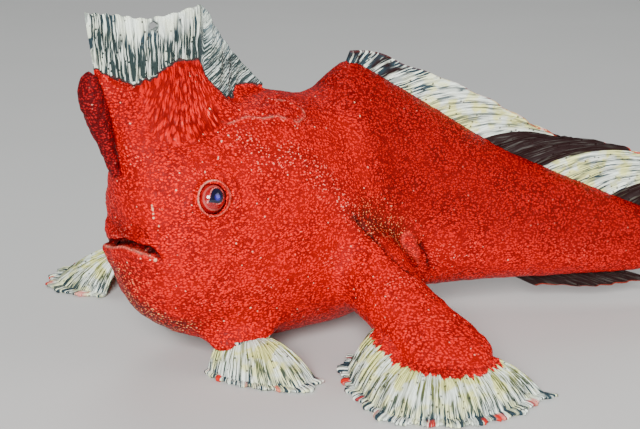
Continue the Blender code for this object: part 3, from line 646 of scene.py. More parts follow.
# Membrane: white web in fine pleats, with dark streaks along the rays and small pits
MEMBRANE_WHITE = (0.87, 0.95, 0.84)
MEMBRANE_CREAM = (0.85, 0.86, 0.32)
MEMBRANE_DARK = (0.018, 0.038, 0.050)
PIT_BLACK = (0.02, 0.02, 0.02)
membrane, m_in, m_out = new_group("membrane", [
    ("Across", "Float", 0.0), ("Run", "Float", 0.0), ("Vector", "Vector", None),
    ("Grey", "Float", 0.5), ("Cream", "Float", 0.2), ("Fineness", "Float", 1.6),
    ("Dark", "Color", (*MEMBRANE_DARK, 1.0))],
    [("Color", "Color"), ("Height", "Float")])
tree, given = membrane, m_in.outputs
sway = noise(tree, given["Vector"], 0.4)
fine = maths(tree, "MULTIPLY_ADD", given["Across"], given["Fineness"], times(tree, sway, 1.5))
slow = times(tree, given["Run"], 0.20)
pleats = noise(tree, stretched(tree, fine, slow), 1.0, Roughness=0.6)
broad = noise(tree, stretched(tree, times(tree, fine, 0.28), slow, 7.0), 1.0, 1.0)
bands = step_up(tree, broad, 0.60, 0.42)
darkness = maths(tree, "MULTIPLY_ADD", step_up(tree, pleats, 0.55, 0.48),
                 maths(tree, "MULTIPLY_ADD", bands, 0.62, 0.36), times(tree, bands, 0.08))
grey_share = maths(tree, "MULTIPLY", given["Grey"], darkness, clamp=True)
clouds = step_up(tree, noise(tree, given["Vector"], 0.45), 0.42, 0.62)
cream_share = maths(tree, "MULTIPLY", clouds, given["Cream"], clamp=True)
colour = tint(tree, cream_share, MEMBRANE_WHITE, MEMBRANE_CREAM)
colour = tint(tree, grey_share, colour, given["Dark"])
pits = cells(tree, given["Vector"], 1.3)
rare = put(tree, "SeparateColor", {"Color": pits["Color"]}).outputs["Green"]
pit = times(tree, step_up(tree, pits["Distance"], 0.26, 0.14), step_up(tree, rare, 0.48, 0.52))
feed(tree, m_out, {"Color": tint(tree, times(tree, pit, 0.85), colour, PIT_BLACK),
                   "Height": maths(tree, "SUBTRACT", pleats, times(tree, pit, 0.4))})

SKIN_CAVITY_SHADE = (0.20, 0.0003, 0.0003)
SKIN_RED = (0.74, 0.001, 0.001)
SKIN_CROWN_HIGHLIGHT = (0.96, 0.007, 0.003)
SKIN_BROWN = (0.085, 0.006, 0.004)
SKIN_BEAD = (0.96, 0.50, 0.32)
SKIN_PALE = (0.96, 0.50, 0.36)
SKIN_YELLOW = (0.92, 0.58, 0.22)
SKIN_PAINTED_SHADE = (0.57, 0.40, 0.40)
RECESS_SHADE_BLACK = (0.018, 0.001, 0.001)
BORDER_SHADOW = (0.05, 0.02, 0.02)
GRAIN_SPACING, WART_SPACING = 0.44, 1.15
CREST_FINENESS = 3.1     # streaks of the web in a millimetre


def blend_heights(tree, share, first, second):
    return put(tree, "Mix", {0: share, 2: first, 3: second}, data_type="FLOAT").outputs[0]


def red_hide(tree, vector):
    """Colour and relief of the red hide, grains that turn into flutes, and its warts, with painted
    shade between the grains and a painted highlight on their crowns.
    """
    grains = use_group(tree, granules, {
        "Vector": vector, "Spacing": GRAIN_SPACING, "Wart Spacing": WART_SPACING})
    flute_way = stretched(tree, times(tree, read(tree, "flute_angle"), 22.0),
                          times(tree, read(tree, "level"), 0.52))
    dashes = use_group(tree, granules, {"Vector": flute_way, "Spacing": 0.62, "Wart Spacing": 9.0})
    relief = blend_heights(tree, step_up(tree, read(tree, "flute"), 0.25, 0.60), grains["Height"],
                           dashes["Height"])
    calm = step_up(tree, grains["Mottle"], 0.60, 0.40, 0.0, 0.18)
    # Painted shade darkens the hide between the grains; a painted highlight lightens their crowns
    colour = tint(tree, maths(tree, "MAXIMUM", step_up(tree, relief, 0.02, 0.42), calm),
                  SKIN_CAVITY_SHADE, SKIN_RED)
    crown_highlight = maths(tree, "MULTIPLY", step_up(tree, relief, 0.45, 0.95),
                  step_up(tree, grains["Mottle"], 0.35, 0.65, 0.25, 1.0), clamp=True)
    return tint(tree, crown_highlight, colour, SKIN_CROWN_HIGHLIGHT), relief, grains


def crest_border(tree, vector):
    """Shares of the thin painted shadow line and of the white over it, where the crest turns white.
    """
    edge = maths(tree, "MULTIPLY_ADD", noise(tree, vector, 1.1), 0.9,
                 maths(tree, "SUBTRACT", read(tree, "border"), 0.45))
    return step_up(tree, edge, -0.28, -0.10), step_up(tree, edge, 0.0, 0.16)


red_skin, tree, shader, vector = new_material("red skin")
colour, relief, grains = red_hide(tree, vector)
dusk, level = read(tree, "dusk"), read(tree, "level")
# Painted shade multiplies the colour darker over the back, the snout and the hollows
colour = tint(tree, dusk, colour, SKIN_PAINTED_SHADE, "MULTIPLY")
# Painted highlights on the crowns of some grains, fewer where shade is painted
painted_highlight = times(tree, step_up(tree, relief, 0.78, 1.0),
                step_up(tree, grains["Mottle"], 0.46, 0.64, 0.0, 0.42))
painted_highlight = times(tree, painted_highlight, maths(tree, "SUBTRACT", 1.0, dusk))
# Pale grains over the shoulder, and yellower ones on brown ground under the jaw
crowns = step_up(tree, relief, 0.48, 0.85)
# Brown ground, partly painted shade in the hollow and crease behind the arm
ground = times(tree, read(tree, "brown"), step_up(tree, relief, 0.50, 0.15, 0.15, 0.85))
warts = times(tree, grains["Wart"], step_up(tree, dusk, 0.7, 0.1, 0.25, 0.9))
# These layers include painted highlights, lid and lip highlights in the pale lines, and black
# painted shade in recesses
for share, shade in (
        (painted_highlight, SKIN_PALE), (ground, SKIN_BROWN),
        (times(tree, read(tree, "pale"), times(tree, crowns, 0.7)), SKIN_PALE),
        (times(tree, read(tree, "jaw"), crowns), SKIN_YELLOW), (read(tree, "line"), SKIN_PALE),
        (step_up(tree, read(tree, "bead"), 0.42, 0.70, 0.0, 0.85), SKIN_BEAD),
        (warts, SKIN_PALE), (read(tree, "gap"), RECESS_SHADE_BLACK)):
    colour = tint(tree, share, colour, shade)
# The crest's white starts at its border, with a thin painted shadow line along it
web = use_group(tree, membrane, {"Across": read(tree, "streak"), "Run": level, "Vector": vector,
                                 "Grey": 1.7, "Cream": 0.1, "Fineness": CREST_FINENESS})
border_shadow, white = crest_border(tree, vector)
colour = tint(tree, times(tree, border_shadow, step_up(tree, level, 20.0, 22.0)), colour, BORDER_SHADOW)
colour = tint(tree, white, colour, web["Color"])
relief = blend_heights(tree, white, relief, web["Height"])
finish_look(tree, shader, colour, relief, 0.20, 0.85,
            step_up(tree, relief, 0.0, 1.0, 0.50, 0.30), 0.10)
skin.data.materials.clear()
skin.data.materials.append(red_skin)
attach(skin, "root")
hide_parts(*FLESH)

# Eyes: each eyeball sits loosely behind its ringed lid. It has a red iris and a
# black pupil drawn out to a point at the front, with a painted blue glint in it, under a clear wet
# cornea.

EYE_RADIUS = 2.3
CORNEA_BULGE = 0.04      # share of the radius
CORNEA_WIDTH = 0.55      # radians from its middle
IRIS_RED = (0.22, 0.001, 0.003)
IRIS_BRIGHT = (0.36, 0.002, 0.005)
IRIS_PALE = (0.90, 0.30, 0.24)
PUPIL_GLINT_BLUE = (0.040, 0.025, 0.36)
PUPIL_BLACK = (0.004, 0.003, 0.018)
PUPIL_AT = (0.28, 0.30)  # to the rear and up from the middle of the eye
PUPIL_RADIUS = 1.02
PUPIL_POINT = 1.62       # from its middle to its tip, which points to the front
PUPIL_DIP = math.radians(24.0)


def from_pupil(rearward, upward):
    """Distance outside the drop-shaped edge of the pupil, negative inside it."""
    x, y = rearward - PUPIL_AT[0], upward - PUPIL_AT[1]
    front = -(x * math.cos(PUPIL_DIP) + y * math.sin(PUPIL_DIP))
    aside = np.abs(y * math.cos(PUPIL_DIP) - x * math.sin(PUPIL_DIP))
    slope = PUPIL_RADIUS / PUPIL_POINT
    wedge = front * slope + aside * math.sqrt(1.0 - slope ** 2) - PUPIL_RADIUS
    circle = np.hypot(front, aside) - PUPIL_RADIUS
    return np.maximum(wedge, np.minimum(circle, PUPIL_RADIUS * slope - front))


def mesh_of(name, points, faces):
    mesh = bpy.data.meshes.new(name)
    mesh.from_pydata((points.reshape(-1, 3) * MM).tolist(), [], faces)
    return mesh


def face_outward(mesh, weld=0.0):
    """Joins points closer than weld metres, turns all faces outward and smooths them."""
    bm = bmesh.new()
    bm.from_mesh(mesh)
    if weld:
        bmesh.ops.remove_doubles(bm, verts=bm.verts, dist=weld)
    bmesh.ops.recalc_face_normals(bm, faces=bm.faces)
    bm.to_mesh(mesh)
    bm.free()
    mesh.shade_smooth()


def eye_mesh(name, sign, around=112, rings=84):
    centre, out, rear, up = eye_frame(sign)
    down, a = np.meshgrid(np.linspace(0.0, math.pi, rings + 1),
                          np.linspace(0.0, 2.0 * math.pi, around, endpoint=False), indexing="ij")
    unit = np.stack([np.sin(down) * np.cos(a), np.sin(down) * np.sin(a), np.cos(down)], -1)
    bulge = EYE_RADIUS * (1.0 + CORNEA_BULGE * hump(down, CORNEA_WIDTH))
    points = centre + bulge[..., None] * (unit @ np.array([rear, up, out]))
    faces = [(i * around + j, (i + 1) * around + j, (i + 1) * around + (j + 1) % around,
              i * around + (j + 1) % around) for i in range(rings) for j in range(around)]
    mesh = mesh_of(name, points, faces)
    rearward, upward = EYE_RADIUS * unit[..., 0].ravel(), EYE_RADIUS * unit[..., 1].ravel()
    behind = np.where(unit[..., 2].ravel() > 0.0, 0.0, 9.0)
    paint(mesh, pupil=from_pupil(rearward, upward) + behind, rim=np.hypot(rearward, upward),
          glint=np.hypot(rearward - PUPIL_AT[0] + 0.12, upward - PUPIL_AT[1] + 0.22))
    face_outward(mesh, weld=1e-7)
    return new_object(name, mesh)


eye_look, tree, shader, vector = new_material("eye")
pupil_edge, rim = read(tree, "pupil"), read(tree, "rim")
fibres = noise(tree, vector, 3.0, 3.0)
colour = tint(tree, step_up(tree, fibres, 0.35, 0.65), IRIS_RED, IRIS_BRIGHT)
# A pink line runs round the iris, and a paler one, broken at the rear, round the pupil
inner_ring = times(tree, step_up(tree, rim, 1.50, 1.62), step_up(tree, rim, 1.82, 1.70))
colour = tint(tree, times(tree, inner_ring, 0.20), colour, IRIS_PALE)
halo = times(tree, step_up(tree, pupil_edge, 0.20, 0.10),
             step_up(tree, fibres, 0.40, 0.65, 0.0, 0.7))
colour = tint(tree, halo, colour, IRIS_PALE)
# A painted blue glint in the black pupil
pupil = tint(tree, step_up(tree, read(tree, "glint"), 0.62, 0.08), PUPIL_BLACK, PUPIL_GLINT_BLUE)
colour = tint(tree, step_up(tree, pupil_edge, 0.05, -0.03), colour, pupil)
feed(tree, shader, {"Base Color": colour, "Specular IOR Level": 0.10, "Coat Weight": 1.0,
                    "Coat Roughness": 0.03,
                    "Roughness": step_up(tree, fibres, 0.3, 0.7, 0.16, 0.24)})
for sign, name in ((-1, "eye_left"), (1, "eye_right")):
    eyeball = eye_mesh("ball_of_" + name, sign)
    eyeball.data.materials.append(eye_look)
    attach(eyeball, "root")
    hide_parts(name)

# Hands and feet: four fans of soft rays joined by white web. They spring from the
# palms, arch down and lie on the floor, pleated, with a frilled margin and red tips.

WEB_OFF_FLOOR = 0.02
ROOT_BURIED = 1.5        # how far a fan runs on inside the palm
TIP_HEIGHT = 0.40        # of the middle of the web over the floor, at its tips


def fin_sheet(name, middle, rays, columns_per_ray, rows, web, ray, flare=0.0, pleat=0.0,
              frill=0.0, folds=4):
    """Fin with ray ridges in both faces. middle(t, r) runs across and along the rays.

    flare thickens its root, and pleat is the rise of the small folds between its rays.
    """
    columns = (rays - 1) * columns_per_ray + 1
    t, r = np.meshgrid(np.linspace(0.0, 1.0, columns), np.linspace(0.0, 1.0, rows + 1))
    grid = middle(t, r)
    normal = np.cross(np.gradient(grid, axis=1), np.gradient(grid, axis=0))
    normal /= np.linalg.norm(normal, axis=2, keepdims=True)
    phase = math.pi * t * (rays - 1)
    ridge = np.cos(phase) ** 4
    crinkle = frill * r ** 2 * np.sin(phase * 6.0 + 1.5 * np.sin(t * 23.0))
    margin = np.clip((1.0 - r) / 0.10, 0.0, 1.0) ** 0.5
    margin *= np.clip(np.minimum(t, 1.0 - t) * (rays - 1) / 0.25 + 0.25, 0.0, 1.0) ** 0.5
    half = web + (ray - web) * ridge * (1.0 - 0.55 * r)
    half += flare * (1.0 - r) ** 3
    half += pleat * np.cos(phase * folds) ** 2 * ease(r, 0.05, 0.3)
    half = half / 2 * (0.35 + 0.65 * margin)
    near = grid + normal * (half + crinkle * 0.5)[..., None]
    far = grid - normal * (half - crinkle * 0.5)[..., None]
    for face, other in ((near, far), (far, near)):
        sunk = np.maximum(WEB_OFF_FLOOR - face[..., 2], 0.0)
        face[..., 2] += sunk
        other[..., 2] = np.where(sunk > 0.0, np.maximum(other[..., 2], 1.9 * half), other[..., 2])
    points = np.concatenate((near.reshape(-1, 3), far.reshape(-1, 3)))
    shift = (rows + 1) * columns
    faces = []
    for a in (i * columns + j for i in range(rows) for j in range(columns - 1)):
        quad = (a, a + 1, a + columns + 1, a + columns)
        faces += [quad, tuple(shift + corner for corner in (quad[0], *quad[:0:-1]))]
    edge = list(range(columns)) + [i * columns + columns - 1 for i in range(1, rows + 1)]
    edge += [rows * columns + j for j in range(columns - 2, -1, -1)]
    edge += [i * columns for i in range(rows - 1, 0, -1)]
    faces += [(b, a, a + shift, b + shift) for a, b in zip(edge, edge[1:] + edge[:1])]
    mesh = mesh_of(name, points, faces)
    face_outward(mesh)
    steps = np.linalg.norm(np.diff(grid, axis=0), axis=2)
    run = np.concatenate((np.zeros((1, columns)), np.cumsum(steps, axis=0)))
    looks = {"ray": t * (rays - 1), "reach": r, "run": run, "margin": run[-1:] - run}
    paint(mesh, **{name: np.tile(values.ravel(), 2) for name, values in looks.items()})
    return new_object(name, mesh)


# Fans: angle in plan, reach of the ray there, height of its tip and of its root, and how
# far out the red hide covers it
HAND_LEFT = (
    (126.0, 14.2, 1.6, 8.6, 8.0), (136.0, 14.6, 0.8, 8.3, 9.3), (151.0, 13.9, 0.0, 7.4, 8.9),
    (177.0, 13.4, 0.0, 5.8, 7.8), (198.0, 14.7, 0.0, 5.0, 7.9), (214.0, 16.1, 0.0, 5.0, 8.1),
    (241.0, 15.8, 0.0, 5.0, 8.9), (277.0, 15.8, 0.0, 5.0, 9.4), (302.0, 15.8, 0.0, 5.0, 9.3),
    (316.0, 17.6, 0.0, 5.0, 9.3))
HAND_RIGHT = (
    (18.0, 16.5, 1.0, 5.1, 8.0), (50.0, 16.0, 0.0, 5.1, 8.4), (90.0, 16.2, 0.0, 5.1, 8.2),
    (128.0, 18.6, 0.0, 5.1, 8.0), (160.0, 19.6, 0.0, 5.1, 8.4), (182.0, 16.6, 0.0, 5.6, 8.8),
    (202.0, 13.2, 0.0, 6.4, 8.0))
FOOT_LEFT = (
    (186.0, 7.0, 0.0, 4.7, 2.5), (224.0, 8.2, 0.0, 4.7, 2.8), (251.0, 10.0, 0.0, 4.7, 3.6),
    (270.0, 12.6, 0.0, 4.7, 3.6), (281.0, 14.8, 0.0, 4.7, 2.4), (300.0, 14.0, 0.0, 4.7, 2.0))
FOOT_RIGHT = (
    (40.0, 12.6, 0.0, 4.7, 2.4), (62.0, 13.6, 0.0, 4.7, 2.8), (90.0, 12.8, 0.0, 4.7, 3.6),
    (112.0, 11.4, 0.0, 4.7, 3.4), (140.0, 8.6, 0.0, 4.7, 2.8))
# Table, centre from the start of the axis, radius of the root, rays
FANS = {
    "pectoral_fin_left": (HAND_LEFT, (38.4, -22.6), 5.6, 15),
    "pectoral_fin_right": (HAND_RIGHT, (19.6, 39.8), 5.4, 15),
    "pelvic_fin_left": (FOOT_LEFT, (17.4, -3.4), 3.4, 9),
    "pelvic_fin_right": (FOOT_RIGHT, (18.4, 12.6), 3.4, 9),
}


def fan(name, rows_of, centre, root_radius, rays):
    first, last = rows_of[0][0], rows_of[-1][0]
    start = root_radius - ROOT_BURIED
    middle_at = np.add(AXIS_START, centre)

    def middle(t, r):
        angle = first + (last - first) * t
        reach, tip, root_height = (through(rows_of, column, angle) for column in (1, 2, 3))
        phase = math.pi * t * (rays - 1)
        notch = (0.945 + 0.045 * np.abs(np.cos(phase)) ** 1.6 + 0.012 * np.sin(t * 31.0)
                 - 0.030 * np.sin(phase * 6.0) ** 2 * (0.6 + 0.4 * np.sin(t * 83.0)))
        radius = start + (reach * notch - start) * r
        u = np.clip((radius - root_radius) / (0.86 * reach - root_radius), 0.0, 1.0)
        low = tip + TIP_HEIGHT
        height = low + (root_height - low) * (1.0 - u ** 2.2)
        a = np.radians(angle)
        return np.stack([middle_at[0] + radius * np.cos(a), middle_at[1] + radius * np.sin(a),
                         height], -1)

    made = fin_sheet(name, middle, rays, 24, 52, 0.5, 0.95, flare=0.6, pleat=0.24,
                     frill=0.12, folds=6)
    out = points_of(made.data)[:, :2] - middle_at
    angle = np.degrees(np.arctan2(out[:, 1], out[:, 0])) % 360.0
    paint(made.data, bare=np.hypot(out[:, 0], out[:, 1]) - through(rows_of, 4, angle))
    return made


FIN_RED = (0.60, 0.010, 0.004)
OLIVE = (0.15, 0.16, 0.03)


def finish_fin(tree, shader, colour, relief, depth, fine):
    """Finishes a web, which is smoother on the crowns of its fine pleats."""
    finish_look(tree, shader, colour, relief, depth, 0.8,
                step_up(tree, fine, 0.2, 0.8, 0.6, 0.42), 0.15)


white_fin, tree, shader, vector = new_material("white fin")
ray, toward_tip = read(tree, "ray"), step_up(tree, read(tree, "reach"), 0.40, 0.90)
web = use_group(tree, membrane, {
    "Across": ray, "Run": read(tree, "run"), "Vector": vector, "Fineness": 13.0,
    "Grey": maths(tree, "ADD", maths(tree, "MULTIPLY_ADD", toward_tip, 0.75, 0.85),
                  step_up(tree, ray, 2.6, 0.3, 0.0, 0.8)),
    "Cream": maths(tree, "MULTIPLY_ADD", toward_tip, -0.9, 1.5),
    "Dark": tint(tree, toward_tip, OLIVE, MEMBRANE_DARK)})
ragged = noise(tree, stretched(tree, times(tree, ray, 2.2), 0.0), 1.0)
which = step_up(tree, noise(tree, stretched(tree, times(tree, ray, 0.8), 3.0), 1.0), 0.53, 0.60)
on_ray = maths(tree, "ABSOLUTE", maths(tree, "COSINE", times(tree, ray, math.pi)))
from_tip = maths(tree, "MULTIPLY_ADD", ragged, 1.2, read(tree, "margin"))
tip = times(tree, step_up(tree, from_tip, 2.0, 1.3),
            times(tree, step_up(tree, on_ray, 0.45, 0.85), which))
colour = tint(tree, tip, web["Color"], FIN_RED)
bare = maths(tree, "MULTIPLY_ADD", ragged, 3.6, maths(tree, "SUBTRACT", read(tree, "bare"), 1.8))
root_red = step_up(tree, bare, 0.20, -0.05)
hide_red, hide_relief, _ = red_hide(tree, vector)
colour = tint(tree, root_red, colour, hide_red)
relief = blend_heights(tree, root_red, web["Height"], hide_relief)
finish_fin(tree, shader, colour, relief, 0.24, web["Height"])
for name, settings in FANS.items():
    web_fan = fan("fan_of_" + name, *settings)
    web_fan.data.materials.append(white_fin)
    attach(web_fan, "root")
    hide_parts(name)

# Crest: the first dorsal fin stands up from the forehead as a pleated white sail. Its
# third spine makes a hard fold, and a small tear runs down from its edge into a hole.

TEAR_AT = (6.5, 50.1)    # along and height of the hole's middle
TEAR_RADIUS = 0.55
TEAR_SLIT = (0.16, -0.48)  # rear and front side of the slit over it, from its middle
TEAR_TOP = 3.0           # over its middle, outside the web
TEAR_DEPTH = 2.5         # to each side, outside the web
CREST_SHADE = (0.46, 0.60, 0.64)
CREST_LOW = (0.018, 0.032, 0.030)
CREST_CREASE_SHADE = (0.030, 0.040, 0.045)
crest = fin_sheet("crest", crest_middle, CREST_PLEATS, 14, 48, 0.42, 0.8, flare=0.3, pleat=0.18,
                  frill=0.05)
outline = [(TEAR_AT[0] + TEAR_RADIUS * (1.25 + 0.16 * math.cos(3.0 * a)) * math.cos(a),
            TEAR_AT[1] + TEAR_RADIUS * (1.0 + 0.18 * math.sin(2.0 * a + 0.6)) * math.sin(a))
           for a in np.linspace(math.radians(105.0), math.radians(435.0), 28)]
outline += [(TEAR_AT[0] + edge, TEAR_AT[1] + TEAR_TOP) for edge in TEAR_SLIT]
count = len(outline)
walls = [(k, (k + 1) % count, count + (k + 1) % count, count + k) for k in range(count)]
cutter = new_object("tear", mesh_of("tear", np.array(
    [place(at, depth, level) for depth in (-TEAR_DEPTH, TEAR_DEPTH) for at, level in outline]),
    walls + [tuple(range(count)), tuple(range(count, 2 * count))]))
face_outward(cutter.data)
tear = crest.modifiers.new("tear", "BOOLEAN")
tear.operation, tear.solver, tear.object = "DIFFERENCE", "EXACT", cutter
apply_modifiers(crest)
bpy.data.objects.remove(cutter)
crest.data.shade_smooth()
crest.data.set_sharp_from_angle(angle=math.radians(60.0))

points = points_of(crest.data)
along, side, height = on_body(points)
fluted, flute_angle = flutes_at(along, side, height)
behind_spine = ease(along, 14.2, 14.8)
low_down = ease(7.6 - to_border(along, height), 0.0, 5.6)
up_front = ease(3.4 - along, 0.0, 4.5)
up_left = hump(along - 9.5, 2.6) * ease(height, 46.5, 48.5)
rearward, upward = along - TEAR_AT[0], height - TEAR_AT[1]
from_hole = np.hypot(rearward / 1.15, upward) - TEAR_RADIUS
from_slit = np.where(upward > 0.0, np.abs(rearward - 0.02 * upward), -FAR_OFF)
from_crease = (0.7 * np.abs((height - 49.3) + (along - 6.8))
               - FAR_OFF * (ease(6.7 - along, 0.0, 0.2) + ease(along, 9.3, 9.6)))
grey = 0.55 + 2.1 * low_down + 1.1 * up_front - 0.45 * up_left + 0.9 * behind_spine
front_edge = ease(painted(crest.data, "ray"), 0.05, 0.5)
paint(crest.data, border=to_border(along, height), level=height, flute=fluted,
      flute_angle=flute_angle, rear=behind_spine,
      streak=along - behind_spine * 1.3 * (height - 45.0),
      grey=np.clip(grey, 0.1, 2.8) * (0.5 + 0.5 * front_edge),
      # Painted shade in the fold at the third spine, along the crease and round the tear
      spine=as_share(0.9 * hump(along - 14.3, 0.16) + 0.6 * hump(from_crease, 0.16)
                     + 0.9 * hump(from_hole, 0.16) + 0.9 * hump(from_slit, 0.20)))

crest_look, tree, shader, vector = new_material("crest")
grey = read(tree, "grey")
web = use_group(tree, membrane, {"Across": read(tree, "streak"), "Run": read(tree, "run"),
                                 "Vector": vector, "Grey": grey, "Cream": 0.20,
                                 "Fineness": CREST_FINENESS})
low_dark = times(tree, step_up(tree, grey, 0.9, 2.4),
                 step_up(tree, web["Height"], 0.60, 0.46, 0.12, 0.95))
# The panel behind the third spine is tinted bluish, a painted shade
colour = tint(tree, times(tree, read(tree, "rear"), 0.30), web["Color"], CREST_SHADE)
colour = tint(tree, low_dark, colour, CREST_LOW)
# Painted shade in the folds and round the tear
colour = tint(tree, read(tree, "spine"), colour, CREST_CREASE_SHADE)
hide_red, hide_relief, _ = red_hide(tree, vector)
# A thin painted shadow line runs along the border under the white
border_shadow, white = crest_border(tree, vector)
colour = tint(tree, white, tint(tree, border_shadow, hide_red, BORDER_SHADOW), colour)
relief = blend_heights(tree, white, hide_relief, web["Height"])
finish_fin(tree, shader, colour, relief, 0.22, relief)
crest.data.materials.append(crest_look)
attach(crest, "root")
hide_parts("first_dorsal_fin")

# Fins of the back and tail: the second dorsal fin lies folded along the back, the anal
# fin close under the tail, and the tail fin spreads behind. Their web is banded.

TRUNK_TOP = (
    (33.5, 37.8), (36.8, 38.9), (39.8, 42.5), (42.0, 42.4), (47.0, 39.6), (55.0, 34.8),
    (66.0, 27.8), (77.0, 22.8), (90.0, 17.2), (97.5, 14.6))
TRUNK_BOTTOM = ((55.0, 5.2), (66.0, 5.4), (77.0, 5.2), (90.0, 5.2), (97.5, 5.8))
TAIL_END = 97.5
DORSAL_FROM, DORSAL_TO, DORSAL_RAYS = 40.8, 91.0, 16
# Share of its base, degrees between the rays there and the back, length of the rays
DORSAL = (
    (0.0, 66.0, 2.4), (0.06, 60.0, 4.0), (0.16, 46.0, 7.2), (0.3, 35.5, 11.4), (0.45, 32.0, 14.4),
    (0.62, 32.2, 16.8), (0.8, 32.0, 15.4), (1.0, 38.0, 11.5))
DORSAL_BOW = 1.3         # how far the middle of its longest rays arches over their ends
DORSAL_SUNK = 1.3        # how far its base lies under the back's edge
ANAL_FROM, ANAL_TO, ANAL_RAYS, ANAL_LENGTH, ANAL_LEAN = 67.0, 85.5, 8, 9.0, 24.0
CAUDAL_RAYS, CAUDAL_LENGTH, CAUDAL_RAISE, CAUDAL_DROOP = 9, 23.5, 21.0, 20.5


def dorsal_middle(t, r):
    along = DORSAL_FROM + (DORSAL_TO - DORSAL_FROM) * t
    root = through(TRUNK_TOP, 1, along) - DORSAL_SUNK
    slope = np.arctan2(through(TRUNK_TOP, 1, along + 2.0) - through(TRUNK_TOP, 1, along - 2.0), 4.0)
    angle = np.radians(through(DORSAL, 1, t)) + slope
    reach = through(DORSAL, 2, t) * r * notched(t, DORSAL_RAYS, 0.05)
    side = (0.45 * np.sin(t * 17.0) - 0.5) * r
    bow = DORSAL_BOW * 4.0 * r * (1.0 - r) * ease(t, 0.10, 0.45)
    return place(along + np.cos(angle) * reach - np.sin(angle) * bow, side,
                 root + np.sin(angle) * reach + np.cos(angle) * bow)


def anal_middle(t, r):
    along = ANAL_FROM + (ANAL_TO - ANAL_FROM) * t
    root = through(TRUNK_BOTTOM, 1, along) + 1.0
    lean = np.radians(ANAL_LEAN * (1.0 - 0.3 * t))
    reach = ANAL_LENGTH * (0.75 + 0.25 * ease(t, 0.0, 0.4)) * r * notched(t, ANAL_RAYS, 0.06)
    side = -0.7 * r * r + 0.3 * np.sin(t * 9.0) * r
    return place(along + np.cos(lean) * reach, side, root - np.sin(lean) * reach)


def caudal_middle(t, r):
    top = through(TRUNK_TOP, 1, TAIL_END)
    bottom = through(TRUNK_BOTTOM, 1, TAIL_END)
    root = bottom + 1.0 + (top - bottom - 2.0) * t
    angle = np.radians(-CAUDAL_DROOP + (CAUDAL_RAISE + CAUDAL_DROOP) * t)
    length = CAUDAL_LENGTH * (0.84 + 0.16 * np.sin(math.pi * t))
    reach = length * r * notched(t, CAUDAL_RAYS, 0.05)
    side = -0.010 * reach * reach + 0.5 * np.sin(t * 6.0 + r * 2.0) * r
    height = np.maximum(root + np.sin(angle) * reach, 0.0)
    return place(TAIL_END - 2.0 + np.cos(angle) * reach, side, height)


BAND_BLACK = (0.012, 0.002, 0.002)
RIM_RED = (0.50, 0.05, 0.022)
banded_fin, tree, shader, vector = new_material("banded fin")
ray = read(tree, "ray")
web = use_group(tree, membrane, {
    "Across": ray, "Run": read(tree, "run"), "Vector": vector, "Grey": read(tree, "grey"),
    "Cream": read(tree, "yellow"), "Fineness": 10.0})
stripes = noise(tree, stretched(tree, times(tree, ray, 3.4), times(tree, read(tree, "reach"), 1.2)),
                1.0)
dark = maths(tree, "ADD", read(tree, "band"), maths(tree, "MULTIPLY_ADD", stripes, 0.9, -0.45))
dark = times(tree, step_up(tree, dark, 0.42, 0.62),
             step_up(tree, web["Height"], 0.66, 0.52, 0.94, 1.0))
colour = tint(tree, dark, web["Color"], BAND_BLACK)
rim = times(tree, step_up(tree, read(tree, "margin"), 0.34, 0.14), read(tree, "redness"))
colour = tint(tree, rim, colour, RIM_RED)
finish_fin(tree, shader, colour, web["Height"], 0.22, web["Height"])

# Share of the base: black, grey streaks, yellow, redness of the margin
DORSAL_BANDS = (
    (0.0, 0.5, 2.4, 0.1, 0.1), (0.1, 0.5, 2.4, 0.1, 0.1), (0.15, 0.3, 1.5, 0.4, 0.1),
    (0.2, 0.1, 0.9, 0.8, 0.2), (0.38, 0.1, 0.8, 1.1, 0.6), (0.42, 0.2, 0.9, 0.3, 1.0),
    (0.46, 1.1, 1.0, 0.0, 1.0), (0.6, 1.1, 1.0, 0.0, 1.0), (0.66, 0.1, 0.8, 1.5, 0.9),
    (0.8, 0.25, 1.1, 1.0, 0.9), (1.0, 0.35, 1.2, 0.4, 0.9))
BANDED = (
    ("second_dorsal_fin", dorsal_middle, DORSAL_RAYS, 14, 40),
    ("anal_fin", anal_middle, ANAL_RAYS, 12, 24),
    ("caudal_fin", caudal_middle, CAUDAL_RAYS, 16, 48),
)
for name, middle, rays, per_ray, rows in BANDED:
    fin = fin_sheet("web_of_" + name, middle, rays, per_ray, rows, 0.45, 0.9, flare=0.3,
                    pleat=0.14, frill=0.08)
    across, reach_to = painted(fin.data, "ray"), painted(fin.data, "reach")
    looks = np.zeros((4, len(across)))
    if name == "second_dorsal_fin":
        base = across / (rays - 1.0)
        looks[:] = [through(DORSAL_BANDS, column, base) for column in (1, 2, 3, 4)]
        looks[0] += 0.9 * ease(base, 0.84, 0.92) * ease(0.7 - reach_to, 0.0, 0.3)
    elif name == "anal_fin":
        # The anal fin is painted mostly black, a painted shade under the tail
        looks[:] = [[0.85], [1.4], [0.2], [0.5]]
    else:
        looks[:] = [[0.0], [0.9], [0.5], [0.8]]
        looks[0] = hump(reach_to - 0.36, 0.10) + 0.8 * hump(reach_to - 0.78, 0.08)
    paint(fin.data, **dict(zip(("band", "grey", "yellow", "redness"), looks)))
    fin.data.materials.append(banded_fin)
    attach(fin, "root")
    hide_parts(name)

# Lure: a short stalk on the forehead carries a flat, warty, dark red lobe, which rests
# against the front of the crest.

